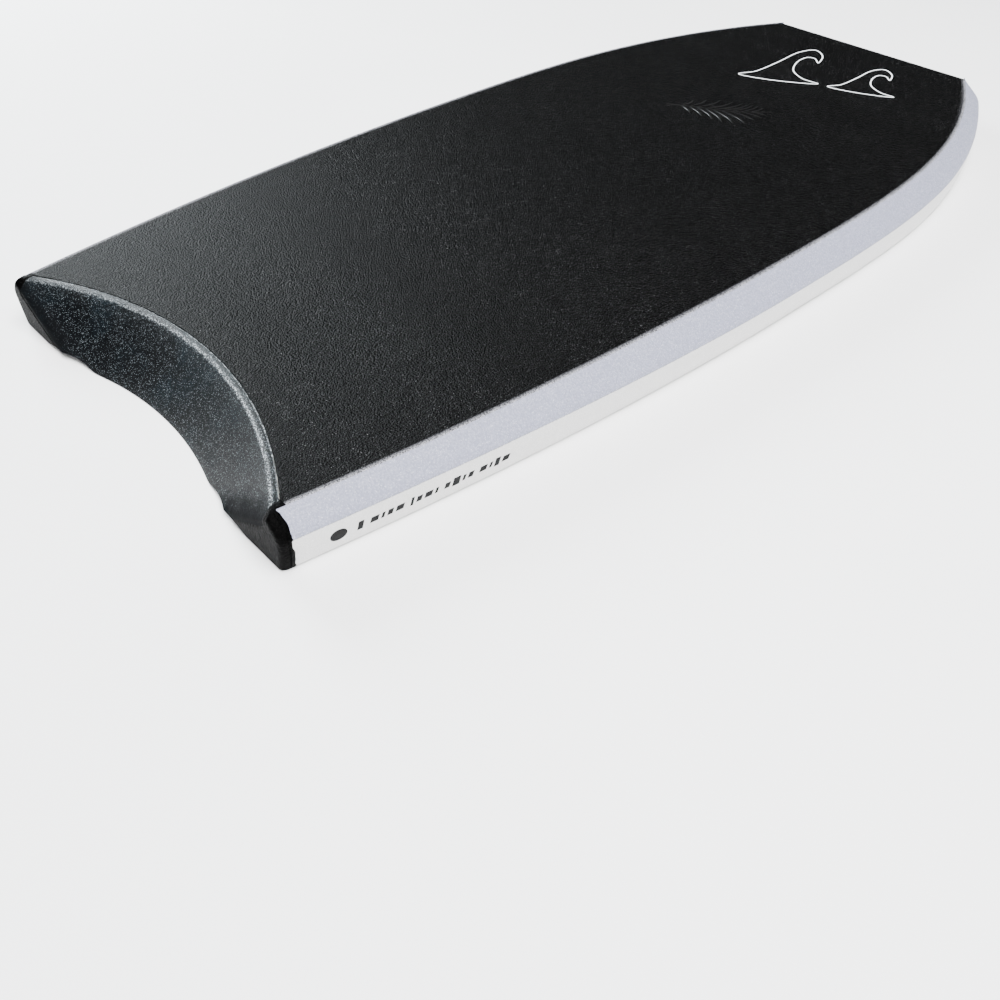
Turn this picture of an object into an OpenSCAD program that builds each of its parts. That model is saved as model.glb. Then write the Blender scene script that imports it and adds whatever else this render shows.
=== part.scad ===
// Bodyboard, laid on its slick with the nose toward +Y.
// A foam core is bonded between skins, closed by double rails, a wrapped crescent tail
// and a nose bumper. The origin is under the middle of the board on the slick side.

/* [Board] */
// Length from the peg tips to the nose
board_length = 1067; // [900:1:1180]
// Widest point, measured over the rails
board_width = 540; // [500:1:620]
// Width over the rails at the nose
nose_width = 316; // [250:1:380]
// Width over the rails at the tail
tail_width = 448; // [390:1:480]
// Thickness through the middle
board_thickness = 54; // [45:0.5:66]
// Height the slick sweeps up at the nose
slick_rocker = 27; // [16:0.5:34]
// Height the deck sweeps up at the nose
deck_rocker = 4; // [2:0.5:20]
// Share of the length taken by the nose sweep
rocker_share = 0.22; // [0.15:0.01:0.35]
// Amount the deck drops toward the tail
tail_drop = 3; // [0:0.5:5]

/* [Tail] */
// Depth of the crescent between the deck corners
crescent_deck = 62; // [45:1:80]
// Depth of the crescent on the slick side
crescent_slick = 24; // [12:1:34]
// Setback of the deck corners from the peg tips
corner_set = 6; // [2:0.5:10]
// Foam thickness of the tail wrap
wrap_t = 6; // [4:0.5:8]
// Width of the bead along the tail edge of the slick
bead_w = 12; // [10:0.5:18]
// Length of the caps over the rail ends
tip_len = 8; // [6:0.5:12]
// Depth of the two channels at the tail
channel_depth = 6; // [3:0.5:9]
// Half width of each channel at the tail
channel_half = 35; // [25:1:45]
// Length over which a channel fades out
channel_len = 430; // [300:5:560]

/* [Rails] */
// Sideways run of the upper rail at the widest point
rail_run_deck = 21; // [16:0.5:28]
// Sideways run of the lower rail at the widest point
rail_run_slick = 13.5; // [11:0.5:20]
// Depth the rails are let in under the edge of the deck
rail_root = 6; // [4:0.5:10]
// Width of the strip between the slick and the lower rail
strip_w = 4.5; // [3:0.1:5]
// Radius of the rail ends at the nose corners
corner_r = 24; // [16:1:34]

/* [Layers] */
// Slick skin
slick_t = 1.5; // [1:0.1:2.5]
// Mesh layer under the slick
mesh_t = 1; // [0.6:0.1:1.6]
// Dense bonding foam on both faces of the core
bond_t = 3; // [2:0.5:5]
// Deck skin
deck_t = 5; // [3:0.5:7]
// Foam thickness of the nose bumper
bumper_t = 7; // [5:0.5:10]

/* [Stringer] */
// Outside diameter of the stringer tube
stringer_d = 12.7; // [9:0.1:16]
// Wall of the stringer tube
stringer_wall = 1.6; // [1:0.1:2.5]
// Length of the stringer tube
stringer_len = 660; // [450:5:700]

/* [Hidden] */

half_l = board_length / 2;
cut_h = board_thickness + deck_rocker + 60;
reach = board_width;

y_corner = half_l - corner_r;

function mix(a, b, t) = a + (b - a) * t;
function ease(t) = (1 - cos(180 * t)) / 2;
function share(y) = (y + half_l) / board_length;

// A value eased from the tail to the widest point and on to the nose.
function along(y, tail, mid, nose) =
    share(y) < 0.5 ? mix(tail, mid, ease(share(y) / 0.5))
                   : mix(mid, nose, ease((share(y) - 0.5) / 0.5));

// Half width of the template before the nose corners are rounded.
function template(y) =
    share(y) < 0.5
        ? board_width / 2 - (board_width - tail_width) / 2 * pow(1 - share(y) / 0.5, 1.8)
        : board_width / 2 - (board_width - nose_width) / 2 * pow((share(y) - 0.5) / 0.5, 3.25);

run_deck_tail = 0.75 * rail_run_deck;
run_deck_nose = 1.05 * rail_run_deck;
run_slick_tail = 0.81 * rail_run_slick;
run_slick_nose = 0.63 * rail_run_slick;
function run_deck(y) = along(y, run_deck_tail, rail_run_deck, run_deck_nose);
function run_slick(y) = along(y, run_slick_tail, rail_run_slick, run_slick_nose);

function corner(y) =
    y > y_corner ? sqrt(max(0.12, 1 - pow((y - y_corner) / corner_r, 2))) : 1;

function w_deck(y) = template(y) - run_deck(y);
function w_chine(y) = w_deck(y) + run_deck(y) * corner(y);
function w_slick(y) = w_deck(y) + (run_deck(y) - run_slick(y)) * corner(y);
function w_inner(y) = w_deck(y) - rail_root;
function w_strip(y) = min(strip_w, 0.4 * (w_chine(y) - w_slick(y)));
function w_groove(y) = 0.1 * (w_chine(y) - w_slick(y));

y_rocker = half_l - rocker_share * board_length;
function sweep(y) = y > y_rocker ? pow((y - y_rocker) / (half_l - y_rocker), 2) : 0;
function droop(y) = y < 0 ? pow(-y / half_l, 2) : 0;
function z_slick(y) = slick_rocker * sweep(y);
function z_deck(y) = board_thickness + deck_rocker * sweep(y) - tail_drop * droop(y);
function z_chine(y) = mix(z_slick(y), z_deck(y), along(y, 0.62, 0.58, 0.6));

// ---- outlines ----
function edge(kind, y) = kind == 0 ? w_deck(y) : kind == 1 ? w_slick(y) : w_inner(y);
function outline_right(kind) = [for (y = YB) [edge(kind, y), y]];
function mirrored(p) = [for (i = [len(p) - 1 : -1 : 0]) [-p[i][0], p[i][1]]];

// Upright block over the template; kind 0 follows the deck edge, 1 the slick edge, 2 the rail root.
module template_block(kind) {
    right = outline_right(kind);
    translate([0, 0, -10])
        linear_extrude(cut_h + 10)
            polygon(concat(right, mirrored(right)));
}

// Full width body between two surfaces that follow the slick (base 0) or the deck (base 1).
module between(base_a, a, base_b, b) {
    low = [for (y = YB) [y, (base_a == 0 ? z_slick(y) : z_deck(y)) + a]];
    high = [for (i = [LAST : -1 : 0]) [YB[i], (base_b == 0 ? z_slick(YB[i]) : z_deck(YB[i])) + b]];
    rotate([90, 0, 90])
        linear_extrude(2 * reach, center = true)
            polygon(concat(low, high));
}

// ---- tail cutters ----
deck_half_tail = w_deck(-half_l);
r_deck = (pow(deck_half_tail, 2) + pow(crescent_deck, 2)) / (2 * crescent_deck);
r_slick = r_deck - (crescent_deck + corner_set - crescent_slick);
axis_y = -half_l + corner_set + crescent_deck - r_deck;
z_tail = z_deck(-half_l);
r_slope = (r_deck - r_slick) / z_tail;

// How far forward the crescent, grown into the board, reaches at a distance x from the middle.
function crescent_reach(grow, x) = axis_y + sqrt(pow(r_deck + grow, 2) - pow(x, 2));

// Stations along the board: rail ends, even through the body, closer round the nose corners.
body_steps = 34;
corner_steps = 7;
y_rail = -half_l + tip_len;
y_inner = max(y_rail + 2, crescent_reach(wrap_t, w_inner(-half_l) - 1));
YS = concat(
    [y_rail],
    [for (i = [0 : body_steps]) y_inner + (y_corner - y_inner) * i / body_steps],
    [for (i = [1 : corner_steps]) y_corner + corner_r * sin(90 * i / corner_steps)]
);
// The full width blocks start a little behind the rail ends, inside the pegs.
y_back = -half_l + 4;
YB = concat([y_back], YS);
LAST = len(YB) - 1;

// Leaning round cutter that shapes the crescent; grow moves it into the board.
module crescent(grow) {
    translate([0, axis_y, -20])
        cylinder(h = cut_h + 20, r1 = r_slick + grow - 20 * r_slope,
                 r2 = r_slick + grow + cut_h * r_slope, $fn = 240);
}

module behind(y_plane) {
    translate([-reach, -half_l - 200, -30])
        cube([2 * reach, 200 + half_l + y_plane, cut_h + 60]);
}

module ahead(y_plane) {
    translate([-reach, y_plane, -30])
        cube([2 * reach, 200 + half_l - y_plane, cut_h + 60]);
}

// Everything a channel removes when its surface is lifted by h.
channel_r = (pow(channel_half, 2) + pow(channel_depth, 2)) / (2 * channel_depth);
channel_x = 0.65 * deck_half_tail;
channel_tilt = atan(channel_depth / channel_len);
channel_splay = 2.2;

module channels(h) {
    for (side = [-1, 1])
        translate([side * channel_x, -half_l, channel_depth - channel_r])
            rotate([0, 0, -side * channel_splay])
                rotate([-90 - channel_tilt, 0, 0])
                    translate([0, 0, -60])
                        cylinder(h = board_length * 0.8, r = channel_r + h, $fn = 180);
}

// ---- rail sections, right hand side ----
UPPER = [[0, 0], [0.04, 0.14], [0.15, 0.31], [0.52, 0.66], [0.86, 0.92], [1, 1]];
LOWER = [[0, 0], [0.26, 0.17], [0.56, 0.42], [0.81, 0.68], [0.95, 0.88], [1, 1]];

function upper_face(y) = [for (f = UPPER)
    [w_chine(y) - f[0] * (w_chine(y) - w_deck(y)), z_chine(y) + f[1] * (z_deck(y) - z_chine(y))]];

function lip_x(y) = w_slick(y) + w_strip(y) + w_groove(y);
function lip_z(y) = z_slick(y) + 0.8;
function lower_face(y) = [for (f = LOWER)
    [mix(lip_x(y), w_chine(y), f[0]), mix(lip_z(y), z_chine(y), f[1])]];

strip_top = slick_t + 3.5;
function upper_section(y) = concat(
    [[w_deck(y), z_deck(y) - deck_t], [w_inner(y), z_deck(y) - deck_t], [w_inner(y), z_chine(y)]],
    upper_face(y)
);
function lower_section(y) = concat(
    [[w_slick(y) + w_strip(y), z_slick(y) + strip_top],
     [w_slick(y) + w_strip(y), z_slick(y) + 1.6]],
    lower_face(y),
    [[w_inner(y), z_chine(y)], [w_inner(y), z_slick(y) + slick_t], [w_slick(y), z_slick(y) + slick_t]]
);
function strip_section(y) = [
    [w_slick(y), z_slick(y) + 0.4],
    [w_slick(y) + w_strip(y) * 0.75, z_slick(y) + 0.4],
    [w_slick(y) + w_strip(y), z_slick(y) + 1.6],
    [w_slick(y) + w_strip(y), z_slick(y) + strip_top],
    [w_slick(y), z_slick(y) + slick_t]
];

// Closed body through matching sections standing at the given stations.
module loft(ys, sections, swap) {
    n = len(sections[0]);
    m = len(sections);
    points = [for (j = [0 : m - 1]) for (p = sections[j]) [p[0], ys[j], p[1]]];
    sides = [for (j = [0 : m - 2]) for (k = [0 : n - 1])
        let (a = j * n + k, b = j * n + (k + 1) % n, c = a + n, d = b + n)
        each (swap ? [[a, b, c], [b, d, c]] : [[a, b, d], [a, d, c]])];
    back = concat([0], [for (k = [n - 1 : -1 : 1]) k]);
    front = [for (k = [0 : n - 1]) (m - 1) * n + k];
    polyhedron(points = points, faces = concat(sides, [back, front]), convexity = 6);
}

module on_left() {
    mirror([1, 0, 0])
        children();
}

module upper_rail() {
    loft(YS, [for (y = YS) upper_section(y)], false);
}

module lower_rail() {
    loft(YS, [for (y = YS) lower_section(y)], false);
}

module edge_strip() {
    loft(YS, [for (y = YS) strip_section(y)], true);
}

// ---- peg ends ----
tip_in = 0.28 * deck_half_tail;
TIP_YS = [-half_l, -half_l + 1.2, y_back, y_rail, y_inner];
TIP_IN = [3.4, 1.1, 0, 0, 0];
function tip_section(y, shrink) =
    let (face = concat([[w_slick(y), -3]], lower_face(y), upper_face(y)),
         top = z_deck(y) - 0.7 * shrink,
         low = -3)
    concat([[tip_in, low]],
           [for (p = face) [p[0] - shrink, max(low, min(top, p[1]))]],
           [[tip_in, top]]);

module tip_block() {
    loft(TIP_YS, [for (i = [0 : 4]) tip_section(TIP_YS[i], TIP_IN[i])], false);
}

// One peg: full section behind the rail ends, then only what lies inboard of the rails.
module peg() {
    intersection() {
        tip_block();
        union() {
            behind(y_rail);
            template_block(2);
            intersection() {
                template_block(0);
                between(1, -deck_t, 1, 1);
            }
            intersection() {
                template_block(1);
                between(0, -1, 0, slick_t);
            }
        }
    }
}

// ---- layers ----
module deck_skin() {
    color([0.07, 0.07, 0.075])
        difference() {
            intersection() {
                template_block(0);
                between(1, -deck_t, 1, 0);
            }
            crescent(wrap_t);
            behind(y_inner);
            ahead(half_l - bumper_t);
        }
}

module bond_skin_top() {
    color([0.93, 0.92, 0.88])
        difference() {
            intersection() {
                template_block(2);
                between(1, -deck_t - bond_t, 1, -deck_t);
            }
            crescent(wrap_t);
            behind(y_inner);
            ahead(half_l - bumper_t);
        }
}

stringer_y = -half_l + 0.5 * board_length - 0.03 * board_length;
stringer_z = board_thickness / 2;
cap_len = 14;

module core() {
    color([0.96, 0.95, 0.9])
        difference() {
            intersection() {
                template_block(2);
                between(0, slick_t + mesh_t + bond_t, 1, -deck_t - bond_t);
            }
            crescent(wrap_t);
            behind(y_inner);
            ahead(half_l - bumper_t);
            channels(slick_t + mesh_t + bond_t);
            translate([0, -half_l, stringer_z])
                rotate([-90, 0, 0])
                    cylinder(h = half_l + stringer_y + stringer_len / 2 + cap_len, d = stringer_d, $fn = 48);
        }
}

module bond_skin_bottom() {
    color([0.9, 0.89, 0.85])
        difference() {
            intersection() {
                template_block(2);
                union() {
                    between(0, slick_t + mesh_t, 0, slick_t + mesh_t + bond_t);
                    channel_filling(slick_t + mesh_t + bond_t, slick_t + mesh_t);
                }
            }
            crescent(wrap_t);
            behind(y_inner);
            ahead(half_l - bumper_t);
            channels(slick_t + mesh_t);
        }
}

// The part of a channel surface, lifted by h, that rises over the level z_low inside the board.
module channel_filling(h, z_low) {
    intersection() {
        channels(h);
        translate([-reach, -half_l - 20, z_low])
            cube([2 * reach, 0.75 * board_length, channel_depth + h]);
    }
}

module slick_mesh() {
    color([0.82, 0.82, 0.8])
        difference() {
            intersection() {
                template_block(2);
                union() {
                    between(0, slick_t, 0, slick_t + mesh_t);
                    channel_filling(slick_t + mesh_t, slick_t);
                }
            }
            crescent(bead_w);
            behind(y_inner);
            ahead(half_l - bumper_t);
            channels(slick_t);
        }
}

module slick_skin() {
    color([0.75, 0.15, 0.1])
        difference() {
            intersection() {
                template_block(1);
                union() {
                    between(0, 0, 0, slick_t);
                    channel_filling(slick_t, 0);
                }
            }
            crescent(bead_w);
            behind(y_inner);
            ahead(half_l - bumper_t);
            channels(0);
        }
}

// ---- tail ----
module below_slick() {
    translate([-reach, -reach, -cut_h])
        cube([2 * reach, 2 * reach, cut_h]);
}

// Zone of the tail wrap between the two rails.
wrap_half = w_inner(y_rail);
module wrap_zone() {
    intersection() {
        crescent(wrap_t);
        translate([-wrap_half, -half_l - 20, -20])
            cube([2 * wrap_half, 0.4 * board_length, cut_h + 20]);
    }
}

module wrap_shell() {
    difference() {
        wrap_zone();
        crescent(0);
        channels(0);
        below_slick();
    }
}

module tail_wrap() {
    color([0.1, 0.1, 0.11])
        union() {
            intersection() {
                template_block(2);
                between(0, 0, 1, 0);
                wrap_shell();
            }
            intersection() {
                tip_block();
                wrap_shell();
            }
            intersection() {
                on_left()
                    tip_block();
                wrap_shell();
            }
        }
}

// Block the bead is cut from: the slick layer, the mesh layer and the rise over the channels.
module bead_block() {
    union() {
        intersection() {
            template_block(2);
            between(0, 0, 0, slick_t + mesh_t);
        }
        intersection() {
            template_block(1);
            between(0, 0, 0, slick_t);
        }
        intersection() {
            template_block(2);
            channel_filling(slick_t + mesh_t, 0);
        }
    }
}

module tail_bead() {
    color([0.12, 0.13, 0.14])
        difference() {
            intersection() {
                bead_block();
                crescent(bead_w);
            }
            crescent(wrap_t);
            behind(y_inner);
            channels(0);
        }
}

module tail_tip() {
    difference() {
        peg();
        crescent(0);
        wrap_zone();
        channels(0);
        below_slick();
    }
}

// ---- nose ----
module nose_bumper() {
    zs = z_slick(half_l - bumper_t);
    zd = z_deck(half_l - bumper_t);
    color([0.09, 0.09, 0.1])
        intersection() {
            ahead(half_l - bumper_t);
            union() {
                template_block(2);
                intersection() {
                    template_block(0);
                    between(1, -deck_t, 1, 0);
                }
                intersection() {
                    template_block(1);
                    between(0, 0, 0, slick_t);
                }
            }
            rotate([90, 0, 90])
                linear_extrude(2 * reach, center = true)
                    polygon([
                        [half_l - bumper_t, zs],
                        [half_l - 0.45 * bumper_t, zs + 0.25 * bumper_t],
                        [half_l - 0.12 * bumper_t, zs + 0.8 * bumper_t],
                        [half_l, zs + 1.5 * bumper_t],
                        [half_l, zd - 1.1 * bumper_t],
                        [half_l - 0.12 * bumper_t, zd - 0.5 * bumper_t],
                        [half_l - 0.45 * bumper_t, zd - 0.1 * bumper_t],
                        [half_l - bumper_t, zd]
                    ]);
        }
}

module upper_rail_left() {
    color([0.86, 0.87, 0.92])
        on_left()
            upper_rail();
}

module upper_rail_right() {
    color([0.86, 0.87, 0.92])
        upper_rail();
}

module lower_rail_left() {
    color([0.93, 0.93, 0.9])
        on_left()
            lower_rail();
}

module lower_rail_right() {
    color([0.93, 0.93, 0.9])
        lower_rail();
}

module edge_strip_left() {
    color([0.78, 0.77, 0.68])
        on_left()
            edge_strip();
}

module edge_strip_right() {
    color([0.78, 0.77, 0.68])
        edge_strip();
}

module tail_tip_left() {
    color([0.05, 0.05, 0.05])
        on_left()
            tail_tip();
}

module tail_tip_right() {
    color([0.05, 0.05, 0.05])
        tail_tip();
}

// ---- stringer ----
module stringer_tube() {
    color([0.15, 0.15, 0.16])
        translate([0, stringer_y - stringer_len / 2, stringer_z])
            rotate([-90, 0, 0])
                difference() {
                    cylinder(h = stringer_len, d = stringer_d, $fn = 48);
                    translate([0, 0, -1])
                        cylinder(h = stringer_len + 2, d = stringer_d - 2 * stringer_wall, $fn = 48);
                }
}

module stringer_cap() {
    color([0.2, 0.2, 0.2])
        translate([0, stringer_y + stringer_len / 2, stringer_z])
            rotate([-90, 0, 0])
                union() {
                    cylinder(h = cap_len, d = stringer_d, $fn = 48);
                    translate([0, 0, -cap_len])
                        cylinder(h = cap_len + 1, d = stringer_d - 2 * stringer_wall, $fn = 48);
                }
}

module stringer_plug() {
    color([0.9, 0.9, 0.86])
        difference() {
            translate([0, -half_l, stringer_z])
                rotate([-90, 0, 0])
                    cylinder(h = half_l + stringer_y - stringer_len / 2, d = stringer_d, $fn = 48);
            crescent(wrap_t);
        }
}

// ---- drawing ----
deck_skin();
bond_skin_top();
core();
bond_skin_bottom();
slick_mesh();
slick_skin();
upper_rail_left();
upper_rail_right();
lower_rail_left();
lower_rail_right();
edge_strip_left();
edge_strip_right();
tail_wrap();
tail_bead();
tail_tip_left();
tail_tip_right();
nose_bumper();
stringer_tube();
stringer_cap();
stringer_plug();
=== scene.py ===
"""Looks of a bodyboard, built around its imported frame: skins, rails, tail, nose and printed marks."""

import logging
import math
from collections.abc import Callable, Sequence
from dataclasses import dataclass, field
from enum import Enum
from functools import reduce

import bmesh
import bpy
import numpy as np
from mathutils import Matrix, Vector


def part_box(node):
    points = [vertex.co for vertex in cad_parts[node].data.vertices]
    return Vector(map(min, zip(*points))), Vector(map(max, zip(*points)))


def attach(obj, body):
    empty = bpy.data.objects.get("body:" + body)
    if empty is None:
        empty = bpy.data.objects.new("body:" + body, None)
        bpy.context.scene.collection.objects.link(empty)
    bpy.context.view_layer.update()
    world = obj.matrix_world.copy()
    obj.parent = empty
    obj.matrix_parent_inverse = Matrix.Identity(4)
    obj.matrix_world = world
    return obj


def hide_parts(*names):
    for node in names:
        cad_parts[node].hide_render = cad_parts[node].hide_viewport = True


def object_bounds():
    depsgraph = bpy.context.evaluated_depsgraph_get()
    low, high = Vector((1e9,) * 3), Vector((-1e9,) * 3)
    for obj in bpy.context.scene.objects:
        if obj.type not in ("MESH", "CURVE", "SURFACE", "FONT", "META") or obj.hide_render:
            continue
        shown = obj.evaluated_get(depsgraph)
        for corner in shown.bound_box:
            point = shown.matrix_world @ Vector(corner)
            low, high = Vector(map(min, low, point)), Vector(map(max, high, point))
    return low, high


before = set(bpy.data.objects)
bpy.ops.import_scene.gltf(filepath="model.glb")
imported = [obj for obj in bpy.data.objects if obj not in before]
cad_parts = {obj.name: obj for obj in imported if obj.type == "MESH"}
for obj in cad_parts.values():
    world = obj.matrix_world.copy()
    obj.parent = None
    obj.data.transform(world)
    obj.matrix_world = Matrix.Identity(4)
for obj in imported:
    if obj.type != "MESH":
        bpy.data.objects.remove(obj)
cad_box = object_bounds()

logging.basicConfig(level=logging.INFO, format="%(name)s: %(message)s")
log = logging.getLogger("bodyboard")

MM = 0.001
SHARP_ANGLE = math.radians(48)
BEVEL_ANGLE = math.radians(35)
SETTLE_PASSES = 8

Flat = tuple[float, float]
Colour = tuple[float, float, float]
Place = tuple[float, float, float]
Value = bpy.types.NodeSocket | float | Colour
Curve = Callable[[np.ndarray], np.ndarray]
Lay = Callable[[np.ndarray, np.ndarray, float], np.ndarray]


class Side(Enum):
    """The two long sides of the board, seen from the tail with the deck up."""

    LEFT = -1
    RIGHT = 1


# ---------------------------------------------------------------- the board's form


@dataclass(frozen=True)
class BoardForm:
    """Outline, rocker and tail of the board, in metres, with the nose toward +Y."""

    length: float
    width: float
    thickness: float
    slick_t: float
    deck_t: float = 0.005
    nose_width: float = 0.316
    tail_width: float = 0.448
    slick_rocker: float = 0.027
    deck_rocker: float = 0.004
    rocker_share: float = 0.22
    tail_drop: float = 0.003
    crescent_deck: float = 0.062
    crescent_slick: float = 0.024
    corner_set: float = 0.006
    wrap: float = 0.006
    bead: float = 0.012
    tip: float = 0.008
    channel_depth: float = 0.006
    channel_half: float = 0.035
    channel_length: float = 0.430
    channel_splay: float = math.radians(2.2)
    run_deck: float = 0.021
    run_slick: float = 0.0135
    root: float = 0.006
    strip: float = 0.0045
    corner_radius: float = 0.024
    bumper: float = 0.007
    tail_power: float = 1.8
    nose_power: float = 3.25
    deck_run_shares: tuple[float, float, float] = (0.75, 1.0, 1.05)
    slick_run_shares: tuple[float, float, float] = (0.81, 1.0, 0.63)
    chine_shares: tuple[float, float, float] = (0.62, 0.58, 0.6)
    corner_left: float = 0.12
    strip_share: float = 0.4
    groove_share: float = 0.1
    channel_share: float = 0.65
    channel_soft: float = 0.0011

    @classmethod
    def from_frame(cls) -> "BoardForm":
        """Takes the overall sizes and the slick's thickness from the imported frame.

        Returns:
            The board's form.
        """
        low, high = cad_box
        slick_low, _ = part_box("slick_skin")
        mesh_low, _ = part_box("slick_mesh")
        return cls(
            length=high.y - low.y,
            width=high.x - low.x,
            thickness=high.z - cls.deck_rocker,
            slick_t=mesh_low.z - slick_low.z,
        )

    @property
    def half(self) -> float:
        """Half the board's length."""
        return self.length / 2

    def share(self, y: np.ndarray) -> np.ndarray:
        """Share of the length from the tail, 0 to 1."""
        return (y + self.half) / self.length

    def along(self, y: np.ndarray, tail: float, mid: float, nose: float) -> np.ndarray:
        """Eases a value from the tail to the widest point and on to the nose.

        Args:
            y: Places along the board.
            tail: Value at the tail.
            mid: Value at the widest point.
            nose: Value at the nose.

        Returns:
            The value at each place.
        """
        s = self.share(y)
        back = (1 - np.cos(np.pi * np.clip(s / 0.5, 0, 1))) / 2
        front = (1 - np.cos(np.pi * np.clip((s - 0.5) / 0.5, 0, 1))) / 2
        return np.where(s < 0.5, tail + (mid - tail) * back, mid + (nose - mid) * front)

    def template(self, y: np.ndarray) -> np.ndarray:
        """Gives the half width over the rails before the nose corners are rounded.

        Args:
            y: Places along the board.

        Returns:
            The half width at each place.
        """
        s = self.share(y)
        back = (self.width - self.tail_width) / 2 * np.abs(1 - s / 0.5) ** self.tail_power
        front = (self.width - self.nose_width) / 2 * np.abs((s - 0.5) / 0.5) ** self.nose_power
        return self.width / 2 - np.where(s < 0.5, back, front)

    def corner(self, y: np.ndarray) -> np.ndarray:
        """How much of the rail's run is left where the nose corners are rounded."""
        t = np.clip((y - (self.half - self.corner_radius)) / self.corner_radius, 0, 1)
        return np.sqrt(np.maximum(self.corner_left, 1 - t**2))

    def deck_run(self, y: np.ndarray) -> np.ndarray:
        """Sideways run of the upper rail."""
        return self.along(y, *(share * self.run_deck for share in self.deck_run_shares))

    def slick_run(self, y: np.ndarray) -> np.ndarray:
        """Sideways run of the lower rail."""
        return self.along(y, *(share * self.run_slick for share in self.slick_run_shares))

    def deck_edge(self, y: np.ndarray) -> np.ndarray:
        """Half width of the deck skin."""
        return self.template(y) - self.deck_run(y)

    def chine_edge(self, y: np.ndarray) -> np.ndarray:
        """Half width at the seam between the two rails."""
        return self.deck_edge(y) + self.deck_run(y) * self.corner(y)

    def slick_edge(self, y: np.ndarray) -> np.ndarray:
        """Half width of the slick."""
        return self.deck_edge(y) + (self.deck_run(y) - self.slick_run(y)) * self.corner(y)

    def root_edge(self, y: np.ndarray) -> np.ndarray:
        """Half width at the hidden root of the rails."""
        return self.deck_edge(y) - self.root

    def strip_width(self, y: np.ndarray) -> np.ndarray:
        """Width of the strip between the slick and the lower rail."""
        return np.minimum(self.strip, self.strip_share * (self.chine_edge(y) - self.slick_edge(y)))

    def groove_width(self, y: np.ndarray) -> np.ndarray:
        """Width of the groove beside the strip."""
        return self.groove_share * (self.chine_edge(y) - self.slick_edge(y))

    def sweep(self, y: np.ndarray) -> np.ndarray:
        """Nose sweep, 0 behind the rocker's start and 1 at the nose."""
        start = self.half - self.rocker_share * self.length
        return np.clip((y - start) / (self.half - start), 0, 1) ** 2

    def slick_z(self, y: np.ndarray) -> np.ndarray:
        """Height of the slick without its channels."""
        return self.slick_rocker * self.sweep(y)

    def deck_z(self, y: np.ndarray) -> np.ndarray:
        """Height of the deck."""
        droop = np.where(y < 0, (y / self.half) ** 2, 0)
        return self.thickness + self.deck_rocker * self.sweep(y) - self.tail_drop * droop

    def chine_z(self, y: np.ndarray) -> np.ndarray:
        """Height of the seam between the two rails."""
        low, high = self.slick_z(y), self.deck_z(y)
        return low + (high - low) * self.along(y, *self.chine_shares)

    @property
    def crescent(self) -> tuple[float, float, float]:
        """The tail's leaning cut, a cone about an upright axis.

        Returns:
            Its radius on the slick side, its growth with height and its axis's place along the board.
        """
        tail = np.array(-self.half)
        half_tail = float(self.deck_edge(tail))
        r_deck = (half_tail**2 + self.crescent_deck**2) / (2 * self.crescent_deck)
        r_slick = r_deck - (self.crescent_deck + self.corner_set - self.crescent_slick)
        axis_y = -self.half + self.corner_set + self.crescent_deck - r_deck
        return r_slick, (r_deck - r_slick) / float(self.deck_z(tail)), axis_y

    def reach(self, x: np.ndarray, grow: np.ndarray | float, z: np.ndarray | float) -> np.ndarray:
        """How far forward the tail's crescent comes.

        Args:
            x: Distance from the board's middle line.
            grow: How far the crescent is moved into the board.
            z: Height, since the crescent leans.

        Returns:
            Place along the board.
        """
        r_slick, slope, axis_y = self.crescent
        radius = r_slick + grow + np.asarray(z) * slope
        return axis_y + np.sqrt(np.maximum(radius**2 - x**2, 0))

    def peg_height(self, x: np.ndarray, grow: float) -> np.ndarray:
        """Height under which the crescent stays behind the flat ends of the pegs."""
        r_slick, slope, axis_y = self.crescent
        return (np.sqrt(x**2 + (self.half + axis_y) ** 2) - r_slick - grow) / slope

    @property
    def rail_start(self) -> float:
        """Where the rails start, in front of the peg caps."""
        return -self.half + self.tip

    @property
    def skin_start(self) -> float:
        """Where the skins start beside the crescent.

        Returns:
            Place along the board.
        """
        tail = np.array(-self.half)
        x = self.root_edge(tail) - 0.001
        inner = float(self.reach(x, self.wrap, self.deck_z(tail)))
        return max(self.rail_start + 0.002, inner)

    def channel_z(self, x: np.ndarray, y: np.ndarray) -> np.ndarray:
        """Height of the slick in the two tail channels; low or negative outside them.

        Args:
            x: Places across the board.
            y: Places along the board.

        Returns:
            The height that the channels give.
        """
        radius = (self.channel_half**2 + self.channel_depth**2) / (2 * self.channel_depth)
        start = self.channel_share * float(self.deck_edge(np.array(-self.half)))
        run = y + self.half
        middle = start + run * math.tan(self.channel_splay)
        off = (np.abs(x) - middle) * math.cos(self.channel_splay)
        arch = np.sqrt(np.maximum(radius**2 - off**2, 0)) - radius
        return self.channel_depth * (1 - run / self.channel_length) + arch

    def slick_surface(self, x: np.ndarray, y: np.ndarray) -> np.ndarray:
        """Gives the height of the slick with its channels, blended over a short soft edge.

        Args:
            x: Places across the board.
            y: Places along the board.

        Returns:
            The height at each place.
        """
        soft = self.channel_soft
        base, lift = self.slick_z(y), self.channel_z(x, y)
        over = np.maximum(lift - base, -20 * soft)
        return base + soft * np.log1p(np.exp(over / soft))

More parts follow.
